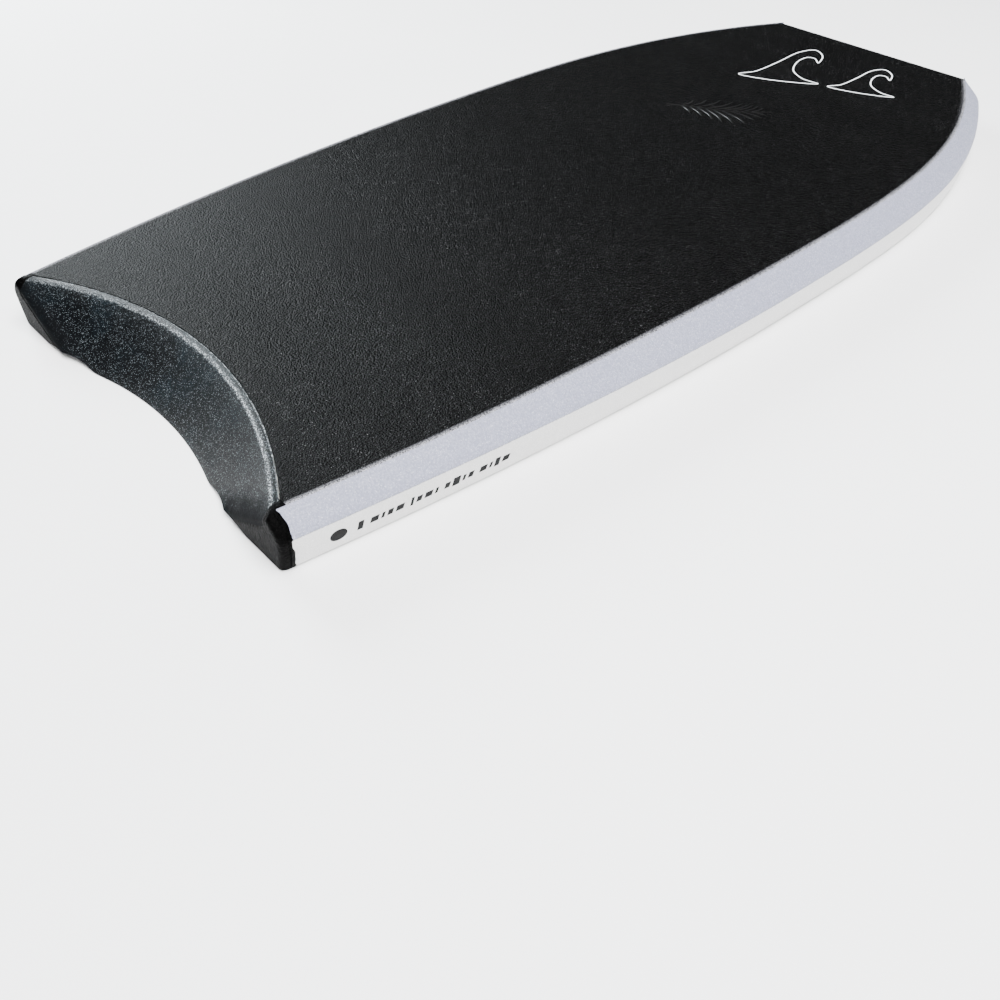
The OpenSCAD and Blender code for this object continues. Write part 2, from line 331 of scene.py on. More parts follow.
    def sheet(
        self, u: np.ndarray, t: np.ndarray, edge: Curve, grow: float, height: Curve
    ) -> tuple[np.ndarray, np.ndarray, np.ndarray]:
        """Lays a skin's grid between the crescent and the nose bumper.

        Args:
            u: Columns, from -1 on the left edge to 1 on the right one.
            t: Rows, from 0 at the crescent to 1 at the bumper.
            edge: Gives the skin's half width along the board.
            grow: How far the crescent is moved into the board.
            height: Gives the skin's height along the board.

        Returns:
            Places across, places along, and distances from the nearest border.
        """
        end = self.half - self.bumper
        start = np.full_like(u, self.skin_start)
        for _ in range(SETTLE_PASSES):
            start = np.maximum(self.skin_start, self.reach(u * edge(start), grow, height(start)))
        y = start + (end - start) * t
        margin = np.minimum.reduce([(1 - np.abs(u)) * edge(y), y - start, end - y])
        return u * edge(y), y, margin


# ---------------------------------------------------------------- mesh making


def smooth_through(points: Sequence[Sequence[float]], per_span: int, closed: bool = False) -> np.ndarray:
    """Draws a smooth line through a few points.

    Args:
        points: The points that the shape needs.
        per_span: How many steps each span gets.
        closed: Whether the line returns to its start.

    Returns:
        Points along the line.
    """
    p = np.asarray(points, float)
    ends = (p[-1:], p[:2]) if closed else (2 * p[0] - p[1], 2 * p[-1] - p[-2])
    ring = np.vstack([ends[0], p, ends[1]])
    t = np.linspace(0, 1, per_span, endpoint=False)[:, None]
    spans = []
    for a, b, c, d in zip(ring[:-3], ring[1:-2], ring[2:-1], ring[3:]):
        square, cube = 2 * a - 5 * b + 4 * c - d, 3 * b - a - 3 * c + d
        bend = 2 * b + (c - a) * t + square * t**2 + cube * t**3
        spans.append(bend / 2)
    line = np.vstack(spans)
    return line if closed else np.vstack([line, p[-1:]])


def closed_mesh(name: str, points: np.ndarray, faces: Sequence[Sequence[int]]) -> bpy.types.Mesh:
    """Makes a mesh whose faces all look outward.

    Args:
        name: The mesh's name.
        points: Corner places, one row each.
        faces: Corner numbers of each face.

    Returns:
        The mesh.
    """
    mesh = bpy.data.meshes.new(name)
    mesh.from_pydata(np.asarray(points, float).tolist(), [], [list(f) for f in faces])
    bm = bmesh.new()
    bm.from_mesh(mesh)
    bmesh.ops.recalc_face_normals(bm, faces=bm.faces)
    bm.to_mesh(mesh)
    bm.free()
    return mesh


def mark_fuzz_and_painted_light(mesh: bpy.types.Mesh, amount: np.ndarray) -> bpy.types.Mesh:
    """Stores a 0 to 1 mask at each corner: foam fuzz on the deck, painted shade along the rail seams and a
    painted highlight on the tail rim.
    """
    values = np.zeros(len(mesh.vertices), np.float32)
    flat = np.asarray(amount, np.float32).ravel()
    values[: len(flat)] = flat
    mesh.attributes.new("worn", "FLOAT", "POINT").data.foreach_set("value", values)
    return mesh


def tube_faces(rings: int, points: int, wrap: bool = False) -> list[Sequence[int]]:
    """Joins rings of corners, numbered ring by ring, into a tube.

    Args:
        rings: How many rings there are.
        points: Corners in each ring.
        wrap: Whether the last ring joins the first.

    Returns:
        Corner numbers of each face.
    """
    faces = []
    for j in range(rings if wrap else rings - 1):
        here, there = j * points, (j + 1) % rings * points
        faces += [
            (here + k, here + (k + 1) % points, there + (k + 1) % points, there + k)
            for k in range(points)
        ]
    return faces


def loft(name: str, sections: np.ndarray) -> bpy.types.Mesh:
    """Joins matching closed sections into one closed body.

    Args:
        name: The mesh's name.
        sections: Places as an array of stations, points and coordinates.

    Returns:
        The mesh.
    """
    m, n, _ = sections.shape
    ends = [list(range(n)), list(range((m - 1) * n, m * n))]
    return closed_mesh(name, sections.reshape(-1, 3), tube_faces(m, n) + ends)


def slab(name: str, outer: np.ndarray, inner: np.ndarray, step: int) -> bpy.types.Mesh:
    """Makes a closed sheet with a fine outer face and a coarse inner one.

    Args:
        name: The mesh's name.
        outer: Grid of places on the outer face.
        inner: The same grid on the inner face.
        step: How many fine cells one coarse cell covers.

    Returns:
        The mesh.
    """
    rows, columns, _ = outer.shape
    coarse = inner[::step, ::step]
    c_rows, c_columns, _ = coarse.shape
    base = rows * columns

    def fine(i: int, j: int) -> int:
        """Number of a fine corner."""
        return i * columns + j

    def rough(i: int, j: int) -> int:
        """Number of a coarse corner."""
        return base + i * c_columns + j

    faces = [
        (fine(i, j), fine(i, j + 1), fine(i + 1, j + 1), fine(i + 1, j))
        for i in range(rows - 1)
        for j in range(columns - 1)
    ]
    faces += [
        (rough(i, j), rough(i + 1, j), rough(i + 1, j + 1), rough(i, j + 1))
        for i in range(c_rows - 1)
        for j in range(c_columns - 1)
    ]
    for i, c in ((0, 0), (rows - 1, c_rows - 1)):
        for j in range(c_columns - 1):
            run = [fine(i, j * step + k) for k in range(step + 1)]
            faces.append([*run, rough(c, j + 1), rough(c, j)])
    for j, c in ((0, 0), (columns - 1, c_columns - 1)):
        for i in range(c_rows - 1):
            run = [fine(i * step + k, j) for k in range(step + 1)]
            faces.append([*run, rough(i + 1, c), rough(i, c)])
    return closed_mesh(name, np.vstack([outer.reshape(-1, 3), coarse.reshape(-1, 3)]), faces)


def baked(mesh: bpy.types.Mesh, modifiers: Sequence[tuple[str, dict]]) -> bpy.types.Mesh:
    """Runs modifiers on a mesh and keeps the result.

    Args:
        mesh: The mesh to start from.
        modifiers: Each modifier's type and settings.

    Returns:
        The finished mesh.
    """
    carrier = bpy.data.objects.new("carrier", mesh)
    bpy.context.scene.collection.objects.link(carrier)
    for kind, settings in modifiers:
        modifier = carrier.modifiers.new(kind.lower(), kind)
        for key, value in settings.items():
            setattr(modifier, key, value)
    depsgraph = bpy.context.evaluated_depsgraph_get()
    made = bpy.data.meshes.new_from_object(carrier.evaluated_get(depsgraph))
    made.name = mesh.name
    bpy.data.objects.remove(carrier)
    return made


def rounded(mesh: bpy.types.Mesh, radius: float, segments: int = 3) -> bpy.types.Mesh:
    """Rounds the sharp edges of a mesh.

    Args:
        mesh: The mesh to round.
        radius: Width of the rounding.
        segments: Steps over the rounding.

    Returns:
        The rounded mesh.
    """
    settings = {
        "width": radius,
        "segments": segments,
        "limit_method": "ANGLE",
        "angle_limit": BEVEL_ANGLE,
        "use_clamp_overlap": True,
    }
    return baked(mesh, [("BEVEL", settings)])


def softened(node: str, voxel: float, passes: int) -> bpy.types.Mesh:
    """Copies a CAD solid as soft foam, with an even fine mesh and softly rounded edges.

    Args:
        node: The CAD node's name.
        voxel: Size of the new mesh's cells.
        passes: How often the edges are smoothed.

    Returns:
        The softened mesh.
    """
    bm = bmesh.new()
    bm.from_mesh(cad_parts[node].data)
    bmesh.ops.remove_doubles(bm, verts=bm.verts, dist=0.00001)
    copy = bpy.data.meshes.new(node + "_soft")
    bm.to_mesh(copy)
    bm.free()
    return baked(
        copy,
        [
            ("REMESH", {"mode": "VOXEL", "voxel_size": voxel, "adaptivity": 0.0}),
            ("DISPLACE", {"strength": voxel * 0.45, "mid_level": 0.0}),
            ("SMOOTH", {"factor": 0.5, "iterations": passes}),
        ],
    )


def place(
    name: str,
    mesh: bpy.types.Mesh,
    material: bpy.types.Material,
    slot: str | None = None,
    stands_for: Sequence[str] = (),
) -> bpy.types.Object:
    """Puts a finished piece on the board and reports it.

    Args:
        name: The piece's name.
        mesh: Its mesh, in the frame's coordinates.
        material: Its material.
        slot: A material slot's name; not used.
        stands_for: CAD nodes that it replaces.

    Returns:
        The new object.
    """
    piece = bpy.data.objects.new(name, mesh)
    bpy.context.scene.collection.objects.link(piece)
    mesh.materials.clear()
    mesh.materials.append(material)
    mesh.polygons.foreach_set("use_smooth", [True] * len(mesh.polygons))
    mesh.set_sharp_from_angle(angle=SHARP_ANGLE)
    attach(piece, "root")
    if stands_for:
        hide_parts(*stands_for)
    log.info("%s: %d faces", name, len(mesh.polygons))
    return piece


# ---------------------------------------------------------------- shader wiring


class Wiring:
    """Places shader nodes in one tree and joins them."""

    def __init__(self, tree: bpy.types.NodeTree) -> None:
        """Keeps the tree that the nodes go into."""
        self.tree = tree
        self.count = 0

    def add(self, kind: str, **settings: object) -> bpy.types.Node:
        """Places one node.

        Args:
            kind: The node's type.
            **settings: Properties to set on it.

        Returns:
            The node.
        """
        node = self.tree.nodes.new(kind)
        self.count += 1
        node.location = (self.count % 8 * 200, -(self.count // 8) * 260)
        for key, value in settings.items():
            setattr(node, key, value)
        return node

    def feed(self, socket: bpy.types.NodeSocket, value: Value) -> None:
        """Joins a socket to another one, or sets its value.

        Args:
            socket: The socket to feed.
            value: The socket to join it to, or the value to set.
        """
        if isinstance(value, bpy.types.NodeSocket):
            self.tree.links.new(value, socket)
        else:
            socket.default_value = value

    def maths(self, operation: str, a: Value, b: Value = 0.0) -> bpy.types.NodeSocket:
        """Places a Math node.

        Args:
            operation: What it works out.
            a: Its first value.
            b: Its second value.

        Returns:
            Its result.
        """
        node = self.add("ShaderNodeMath", operation=operation)
        self.feed(node.inputs[0], a)
        self.feed(node.inputs[1], b)
        return node.outputs[0]

    def plus(self, *terms: Value) -> bpy.types.NodeSocket:
        """Adds values up, from the first to the last."""
        return reduce(lambda a, b: self.maths("ADD", a, b), terms)

    def minus(self, a: Value, b: Value) -> bpy.types.NodeSocket:
        """Takes the second value from the first."""
        return self.maths("SUBTRACT", a, b)

    def times(self, *factors: Value) -> bpy.types.NodeSocket:
        """Multiplies values, from the first to the last."""
        return reduce(lambda a, b: self.maths("MULTIPLY", a, b), factors)

    def stretch(
        self, value: Value, low: Value, high: Value, to_low: float = 0.0, to_high: float = 1.0
    ) -> bpy.types.NodeSocket:
        """Maps a value from one range to another, eased and clamped at both ends.

        Args:
            value: The value.
            low: Start of its range.
            high: End of its range.
            to_low: Result at the start.
            to_high: Result at the end.

        Returns:
            The result.
        """
        node = self.add("ShaderNodeMapRange", interpolation_type="SMOOTHSTEP")
        for socket, amount in zip(node.inputs[:5], (value, low, high, to_low, to_high)):
            self.feed(socket, amount)
        return node.outputs[0]

    def blend(self, share: Value, a: Value, b: Value) -> bpy.types.NodeSocket:
        """Mixes two colours by a mask.

        Args:
            share: The mask.
            a: Colour where the mask is 0.
            b: Colour where the mask is 1.

        Returns:
            The mixed colour.
        """
        node = self.add("ShaderNodeMix", data_type="RGBA")
        self.feed(node.inputs[0], share)
        self.feed(node.inputs[6], rgba(a))
        self.feed(node.inputs[7], rgba(b))
        return node.outputs[2]

    def noise(
        self, vector: Value, scale: Value, detail: float = 3.0, rough: float = 0.55
    ) -> bpy.types.NodeSocket:
        """Places a Noise texture.

        Args:
            vector: Places on the board.
            scale: Blotches per metre.
            detail: How many finer layers it has.
            rough: How strong the finer layers are.

        Returns:
            Its value.
        """
        node = self.add("ShaderNodeTexNoise")
        self.feed(node.inputs["Vector"], vector)
        self.feed(node.inputs["Scale"], scale)
        node.inputs["Detail"].default_value = detail
        node.inputs["Roughness"].default_value = rough
        return node.outputs[0]

    def split(self, vector: bpy.types.NodeSocket) -> list[bpy.types.NodeSocket]:
        """Takes a vector apart.

        Args:
            vector: The vector.

        Returns:
            Its X, Y and Z.
        """
        node = self.add("ShaderNodeSeparateXYZ")
        self.feed(node.inputs[0], vector)
        return list(node.outputs)

    def bump(
        self, shader: bpy.types.Node, height: bpy.types.NodeSocket, strength: float, depth: float
    ) -> None:
        """Gives a shader a bumpy surface.

        Args:
            shader: The shader.
            height: The bumps.
            strength: How much of them shows.
            depth: How deep they are.
        """
        node = self.add("ShaderNodeBump")
        node.inputs["Strength"].default_value = strength
        node.inputs["Distance"].default_value = depth
        self.feed(node.inputs["Height"], height)
        self.feed(shader.inputs["Normal"], node.outputs[0])

    def worn(
        self, here: bpy.types.NodeSocket, cells: float, soft: float, sparse: float = 0.42
    ) -> bpy.types.NodeSocket:
        """Breaks the mesh's stored mask up into fine specks: foam fuzz on the deck, painted shade on the rail
        seams and a painted highlight on the tail rim.

        Args:
            here: Places on the board.
            cells: Specks per metre.
            soft: Share of the mask that stays smooth.
            sparse: Noise value at which a speck starts; more leaves fewer specks.

        Returns:
            The mask.
        """
        stored = self.add("ShaderNodeAttribute", attribute_name="worn").outputs["Fac"]
        fleck = self.stretch(self.noise(here, cells, 3.0, 0.7), sparse, sparse + 0.14)
        return self.times(stored, self.plus(self.times(fleck, 1 - soft), soft))

    def group(self, tree: bpy.types.NodeTree, **values: Value) -> bpy.types.Node:
        """Places a shared effect with this material's own values.

        Args:
            tree: The shared effect.
            **values: Its inputs, by their names in lower case.

        Returns:
            The node.
        """
        node = self.add("ShaderNodeGroup")
        node.node_tree = tree
        for name, value in values.items():
            self.feed(node.inputs[name.replace("_", " ").title()], value)
        return node


def rgba(colour: Value) -> Value | tuple[float, float, float, float]:
    """Adds full opacity to a plain colour, and passes a socket through."""
    return (*colour, 1.0) if isinstance(colour, tuple) and len(colour) == 3 else colour


def effect(
    name: str, inputs: dict[str, float | None], outputs: Sequence[str]
) -> tuple[Wiring, dict[str, bpy.types.NodeSocket], dict[str, bpy.types.NodeSocket]]:
    """Starts a shared effect with named inputs and outputs.

    Args:
        name: The effect's name.
        inputs: Each input's first value, or None for a vector.
        outputs: Names of its value outputs.

    Returns:
        The wiring, its input sockets and its output sockets, both by name.
    """
    tree = bpy.data.node_groups.new(name, "ShaderNodeTree")
    for label, value in inputs.items():
        kind = "NodeSocketVector" if value is None else "NodeSocketFloat"
        socket = tree.interface.new_socket(name=label, in_out="INPUT", socket_type=kind)
        if value is not None:
            socket.default_value = value
    for label in outputs:
        tree.interface.new_socket(name=label, in_out="OUTPUT", socket_type="NodeSocketFloat")
    wiring = Wiring(tree)
    source, sink = wiring.add("NodeGroupInput"), wiring.add("NodeGroupOutput")
    return wiring, {s.name: s for s in source.outputs}, {s.name: s for s in sink.inputs}


class Effects:
    """The effects that more than one finish uses, each built once."""

    def __init__(self) -> None:
        """Builds every shared effect."""
        self.grain = self.foam_grain()
        self.handling = self.handling_marks()
        self.glitter = self.skin_glitter()

    def foam_grain(self) -> bpy.types.NodeTree:
        """Builds the pebbled grain of moulded foam skin.

        Returns:
            A group with Height and Speck outputs.
        """
        w, given, made = effect(
            "foam grain", {"Vector": None, "Cells": 900.0, "Speckle": 0.5}, ("Height", "Speck")
        )
        vector, cells = given["Vector"], given["Cells"]
        pebble = w.add("ShaderNodeTexVoronoi", feature="SMOOTH_F1")
        w.feed(pebble.inputs["Vector"], vector)
        w.feed(pebble.inputs["Scale"], cells)
        pebble.inputs["Smoothness"].default_value = 0.6
        fine = w.noise(vector, w.times(cells, 1.7), 2.0)
        lumps = w.noise(vector, w.times(cells, 0.21), 3.0)
        domes = w.minus(1.0, pebble.outputs["Distance"])
        w.feed(made["Height"], w.plus(w.times(domes, 0.6), w.times(fine, 0.35), w.times(lumps, 0.25)))
        edge = w.minus(0.78, w.times(given["Speckle"], 0.3))
        w.feed(made["Speck"], w.stretch(fine, edge, w.plus(edge, 0.12)))
        return w.tree

    def handling_marks(self) -> bpy.types.NodeTree:
        """Builds faint scuffs and dust that gather in broad soft patches.

        Returns:
            A group with a Marks output.
        """
        w, given, made = effect("handling marks", {"Vector": None, "Patch": 6.0, "Amount": 0.3}, ("Marks",))
        vector, broad = given["Vector"], given["Patch"]
        patches = w.stretch(w.noise(vector, broad, 4.0, 0.6), 0.42, 0.72)
        lint = w.stretch(w.noise(vector, w.times(broad, 55.0), 5.0, 0.7), 0.5, 0.7)
        w.feed(made["Marks"], w.times(patches, lint, given["Amount"]))
        return w.tree

    def skin_glitter(self) -> bpy.types.NodeTree:
        """Builds the sparkling pebbles of a thin glossy film over foam.

        Returns:
            A group with Sparkle and Height outputs.
        """
        w, given, made = effect(
            "skin glitter", {"Vector": None, "Flakes": 1100.0, "Density": 0.2}, ("Sparkle", "Height")
        )
        vector, count = given["Vector"], given["Flakes"]
        flakes = w.add("ShaderNodeTexVoronoi", feature="F1")
        w.feed(flakes.inputs["Vector"], vector)
        w.feed(flakes.inputs["Scale"], count)
        parts = w.add("ShaderNodeSeparateColor")
        w.feed(parts.inputs[0], flakes.outputs["Color"])
        lit = w.maths("GREATER_THAN", parts.outputs[0], w.minus(1.0, given["Density"]))
        w.feed(made["Sparkle"], w.times(lit, parts.outputs[1]))
        coarse = w.noise(vector, w.times(count, 0.35), 3.0)
        domes = w.times(w.minus(1.0, flakes.outputs["Distance"]), 0.5)
        w.feed(made["Height"], w.plus(domes, w.times(coarse, 0.7)))
        return w.tree


def new_material(name: str) -> tuple[Wiring, bpy.types.Node, bpy.types.NodeSocket]:
    """Starts a material with one Principled shader.

    Args:
        name: The material's name.

    Returns:
        The wiring, the shader, and the socket that gives places on the board.
    """
    material = bpy.data.materials.new(name)
    material.use_nodes = True
    wiring = Wiring(material.node_tree)
    shader = material.node_tree.nodes["Principled BSDF"]
    return wiring, shader, wiring.add("ShaderNodeTexCoord").outputs["Object"]


def material_of(wiring: Wiring) -> bpy.types.Material:
    """Finds the material whose tree the wiring works in."""
    return next(m for m in bpy.data.materials if m.node_tree == wiring.tree)


@dataclass(frozen=True)
class FoamFinish:
    """A closed-cell foam skin with pebbled grain, specks and faint handling marks; the grain's hollows are
    painted darker as shade.
    """

    name: str
    base: Colour
    # Painted shade colour for the grain's hollows.
    hollow: Colour
    speck: Colour
    marks: Colour
    cells: float = 900.0
    speckle: float = 0.5
    marks_amount: float = 0.25
    smooth: float = 0.4
    rough: float = 0.65
    depth: float = 0.15 * MM
    specular: float = 0.5
    # Colour of the stored mask: pale fuzz on the deck border, painted shade along the rail seams.
    fuzz_and_seam_shade: Colour = (0.3, 0.3, 0.3)

    def build(self, effects: Effects) -> bpy.types.Material:
        """Makes the material.

        Args:
            effects: The shared effects.

        Returns:
            The material.
        """
        w, shader, here = new_material(self.name)
        grain = w.group(effects.grain, vector=here, cells=self.cells, speckle=self.speckle)
        height = grain.outputs["Height"]
        marks = w.group(effects.handling, vector=here, patch=7.0, amount=self.marks_amount).outputs["Marks"]
        # Painted shade: the grain's low places take the darker hollow colour.
        colour = w.blend(w.stretch(height, 0.45, 0.95), self.hollow, self.base)
        colour = w.blend(grain.outputs["Speck"], colour, self.speck)
        # Stored mask: pale fuzz on the deck's border, painted shade along the rail seams.
        colour = w.blend(w.worn(here, 900.0, 0.1), colour, self.fuzz_and_seam_shade)
        w.feed(shader.inputs["Base Color"], w.blend(marks, colour, self.marks))
        tone = w.plus(height, w.times(marks, 0.4))
        w.feed(shader.inputs["Roughness"], w.stretch(tone, 0.4, 1.1, self.rough, self.smooth))
        w.bump(shader, height, 0.8, self.depth)
        shader.inputs["Specular IOR Level"].default_value = self.specular
        return material_of(w)


@dataclass(frozen=True)
class TailSkinFinish:
    """The thin glossy film over the tail, dark with silver sparkle in its pebbles and a painted highlight on
    its rim.
    """

    name: str = "tail skin"
    base: Colour = (0.0004, 0.0008, 0.0012)
    haze: Colour = (0.003, 0.0065, 0.009)
    spark: Colour = (0.5, 0.57, 0.62)
    # Painted highlight colour on the rolled rim and the deck lip.
    rim: Colour = (0.55, 0.6, 0.63)
    flakes: float = 2100.0
    density: float = 0.075
    flake_metal: float = 0.6
    flake_share: float = 0.42
    depth: float = 0.3 * MM
    specular: float = 0.06
    dull_from: float = 0.102
    dull_to: float = 0.142
    dull_lean: float = 1.8
    dull_rough: float = 0.5

    def build(self, effects: Effects) -> bpy.types.Material:
        """Makes the material.

        Args:
            effects: The shared effects.

        Returns:
            The material.
        """
        w, shader, here = new_material(self.name)
        glitter = w.group(effects.glitter, vector=here, flakes=self.flakes, density=self.density)
        marks = w.group(effects.handling, vector=here, patch=9.0, amount=0.6)
        broad = w.stretch(w.noise(here, 22.0, 3.0), 0.42, 0.7)
        cloud = w.times(broad, w.stretch(w.noise(here, 600.0), 0.35, 0.65))
        colour = w.blend(w.plus(cloud, marks.outputs["Marks"]), self.base, self.haze)
        # Painted highlight: the stored mask lays the rim colour in specks over the rolled rim and the lip.
        colour = w.blend(w.worn(here, 750.0, 0.03, 0.49), colour, self.rim)
        x, _, z = w.split(here)
        ragged = w.plus(w.maths("ABSOLUTE", x), w.times(w.noise(here, 60.0), 0.02))
        aside = w.minus(ragged, w.times(z, self.dull_lean))
        lively = w.stretch(aside, self.dull_from, self.dull_to, 1.0, 0.0)
        sparkle = w.times(glitter.outputs["Sparkle"], lively)
        w.feed(shader.inputs["Base Color"], w.blend(w.times(sparkle, self.flake_share), colour, self.spark))
        w.feed(shader.inputs["Metallic"], w.times(sparkle, self.flake_metal))
        gloss = w.stretch(glitter.outputs["Height"], 0.4, 1.0, 0.4, 0.24)
        dull = w.stretch(aside, self.dull_from, self.dull_to, 0.0, self.dull_rough)
        w.feed(shader.inputs["Roughness"], w.plus(gloss, dull))
        w.bump(shader, glitter.outputs["Height"], 0.9, self.depth)
        shader.inputs["Specular IOR Level"].default_value = self.specular
        return material_of(w)


@dataclass(frozen=True)
class SlickFilmFinish:
    """The glossy film of the slick, fading from orange through red to near black."""

    name: str = "slick film"
    orange: Colour = (0.85, 0.15, 0.015)
    red: Colour = (0.52, 0.025, 0.01)
    maroon: Colour = (0.12, 0.008, 0.008)
    black: Colour = (0.008, 0.008, 0.009)
    across: float = 1.45
    lengthwise: float = 1.2
    dust: Colour = (0.4, 0.38, 0.36)

    def build(self, effects: Effects, form: BoardForm) -> bpy.types.Material:
        """Makes the material.

        Args:
            effects: The shared effects.
            form: The board's form, which the fade spans.

        Returns:
            The material.
        """
        w, shader, here = new_material(self.name)
        x, y, _ = w.split(here)
        aside = w.times(w.minus(form.width / 2, x), self.across)
        ahead = w.times(w.plus(y, form.half), self.lengthwise)
        fade = w.plus(aside, ahead, w.times(w.noise(here, 5.0, 2.0), 0.08))
        ramp = w.add("ShaderNodeValToRGB")
        ramp.color_ramp.interpolation = "EASE"
        first, last = ramp.color_ramp.elements
        first.position, first.color = 0.1, rgba(self.orange)
        last.position, last.color = 0.88, rgba(self.black)
        for at, colour in ((0.34, self.red), (0.62, self.maroon)):
            ramp.color_ramp.elements.new(at).color = rgba(colour)
        w.feed(ramp.inputs[0], fade)
        marks = w.group(effects.handling, vector=here, patch=8.0, amount=0.18)
        w.feed(shader.inputs["Base Color"], w.blend(marks.outputs["Marks"], ramp.outputs[0], self.dust))
        smears = w.plus(w.noise(here, 30.0, 4.0), marks.outputs["Marks"])
        w.feed(shader.inputs["Roughness"], w.stretch(smears, 0.35, 0.95, 0.1, 0.27))
        w.bump(shader, w.noise(here, 420.0, 2.0), 0.25, 0.1 * MM)
        shader.inputs["Coat Weight"].default_value = 0.4
        shader.inputs["Coat Roughness"].default_value = 0.08
        return material_of(w)


@dataclass(frozen=True)
class InkFinish:
    """A thin printed ink, broken a little by the foam's grain."""

    name: str
    ink: Colour
    under: Colour
    rough: float = 0.45
    missing: float = 0.25
    specular: float = 0.1

    def build(self, effects: Effects) -> bpy.types.Material:
        """Makes the material.

        Args:
            effects: The shared effects.

        Returns:
            The material.
        """
        w, shader, here = new_material(self.name)
        grain = w.group(effects.grain, vector=here, cells=1100.0, speckle=self.missing)
        w.feed(shader.inputs["Base Color"], w.blend(grain.outputs["Speck"], self.ink, self.under))
        height = grain.outputs["Height"]
        w.feed(shader.inputs["Roughness"], w.stretch(height, 0.3, 1.1, self.rough + 0.2, self.rough))
        w.bump(shader, height, 0.5, 0.1 * MM)
        shader.inputs["Specular IOR Level"].default_value = self.specular
        return material_of(w)


@dataclass
class Finishes:
    """Every material on the board."""

    form: BoardForm
    effects: Effects = field(default_factory=Effects)

    def __post_init__(self) -> None:
        """Builds the materials."""
        e = self.effects
        # Each foam's second colour is painted shade for the hollows of its grain.
        self.deck = FoamFinish(
            "deck foam", (0.0014, 0.0014, 0.0016), (0.0002, 0.0002, 0.0002),
            (0.2, 0.205, 0.21), (0.005, 0.005, 0.006),
            cells=630.0, speckle=0.44, marks_amount=0.25, smooth=0.28, rough=0.5, depth=2.0 * MM,
            specular=0.034, fuzz_and_seam_shade=(0.42, 0.42, 0.46),
        ).build(e)
        self.pressed = FoamFinish(
            "pressed foam", (0.0005, 0.0005, 0.0005), (0.0003, 0.0003, 0.0003),
            (0.01, 0.01, 0.01), (0.01, 0.01, 0.01),
            cells=900.0, speckle=0.2, marks_amount=0.1, smooth=0.28, rough=0.42, depth=0.05 * MM, specular=0.25,
        ).build(e)
        # The upper and lower rail foams end with a dark colour: painted shade along the rail seams.
        self.upper = FoamFinish(
            "upper rail foam", (0.28, 0.29, 0.375), (0.2, 0.21, 0.28),
            (0.42, 0.43, 0.51), (0.24, 0.24, 0.27),
            cells=560.0, speckle=0.65, marks_amount=0.3, smooth=0.38, rough=0.65, depth=1.5 * MM,
            specular=0.5, fuzz_and_seam_shade=(0.13, 0.13, 0.15),
        ).build(e)
        self.lower = FoamFinish(
            "lower rail foam", (0.64, 0.635, 0.63), (0.55, 0.545, 0.54),
            (0.85, 0.845, 0.83), (0.42, 0.415, 0.4),
            cells=700.0, speckle=0.5, marks_amount=0.3, smooth=0.25, rough=0.4, depth=0.25 * MM,
            fuzz_and_seam_shade=(0.2, 0.2, 0.21),
        ).build(e)
        self.strip = FoamFinish(
            "edge strip foam", (0.42, 0.4, 0.345), (0.24, 0.235, 0.2),
            (0.85, 0.84, 0.8), (0.5, 0.48, 0.44),
            cells=700.0, speckle=0.7, marks_amount=0.2, smooth=0.35, rough=0.6, depth=0.2 * MM,
        ).build(e)
        self.tip = FoamFinish(
            "peg foam", (0.0006, 0.0006, 0.0006), (0.0002, 0.0002, 0.0002),
            (0.02, 0.02, 0.022), (0.003, 0.003, 0.003),
            cells=620.0, speckle=0.35, marks_amount=0.5, smooth=0.38, rough=0.6, depth=0.9 * MM, specular=0.02,
        ).build(e)
        self.nose = FoamFinish(
            "nose foam", (0.003, 0.003, 0.0033), (0.001, 0.001, 0.001),
            (0.03, 0.03, 0.033), (0.015, 0.015, 0.015),
            cells=700.0, speckle=0.5, marks_amount=0.35, smooth=0.4, rough=0.65, depth=0.3 * MM, specular=0.1,
        ).build(e)
        self.tail = TailSkinFinish().build(e)
        self.slick = SlickFilmFinish().build(e, self.form)
        self.white_ink = InkFinish("white ink", (0.8, 0.82, 0.84), (0.35, 0.36, 0.37), 0.4, 0.0).build(e)
        self.silver_ink = InkFinish("silver ink", (0.42, 0.44, 0.46), (0.2, 0.2, 0.2), 0.28, 0.1).build(e)
        self.dark_ink = InkFinish("dark ink", (0.002, 0.002, 0.0022), (0.05, 0.05, 0.05), 0.5, 0.1).build(e)


# ---------------------------------------------------------------- skins


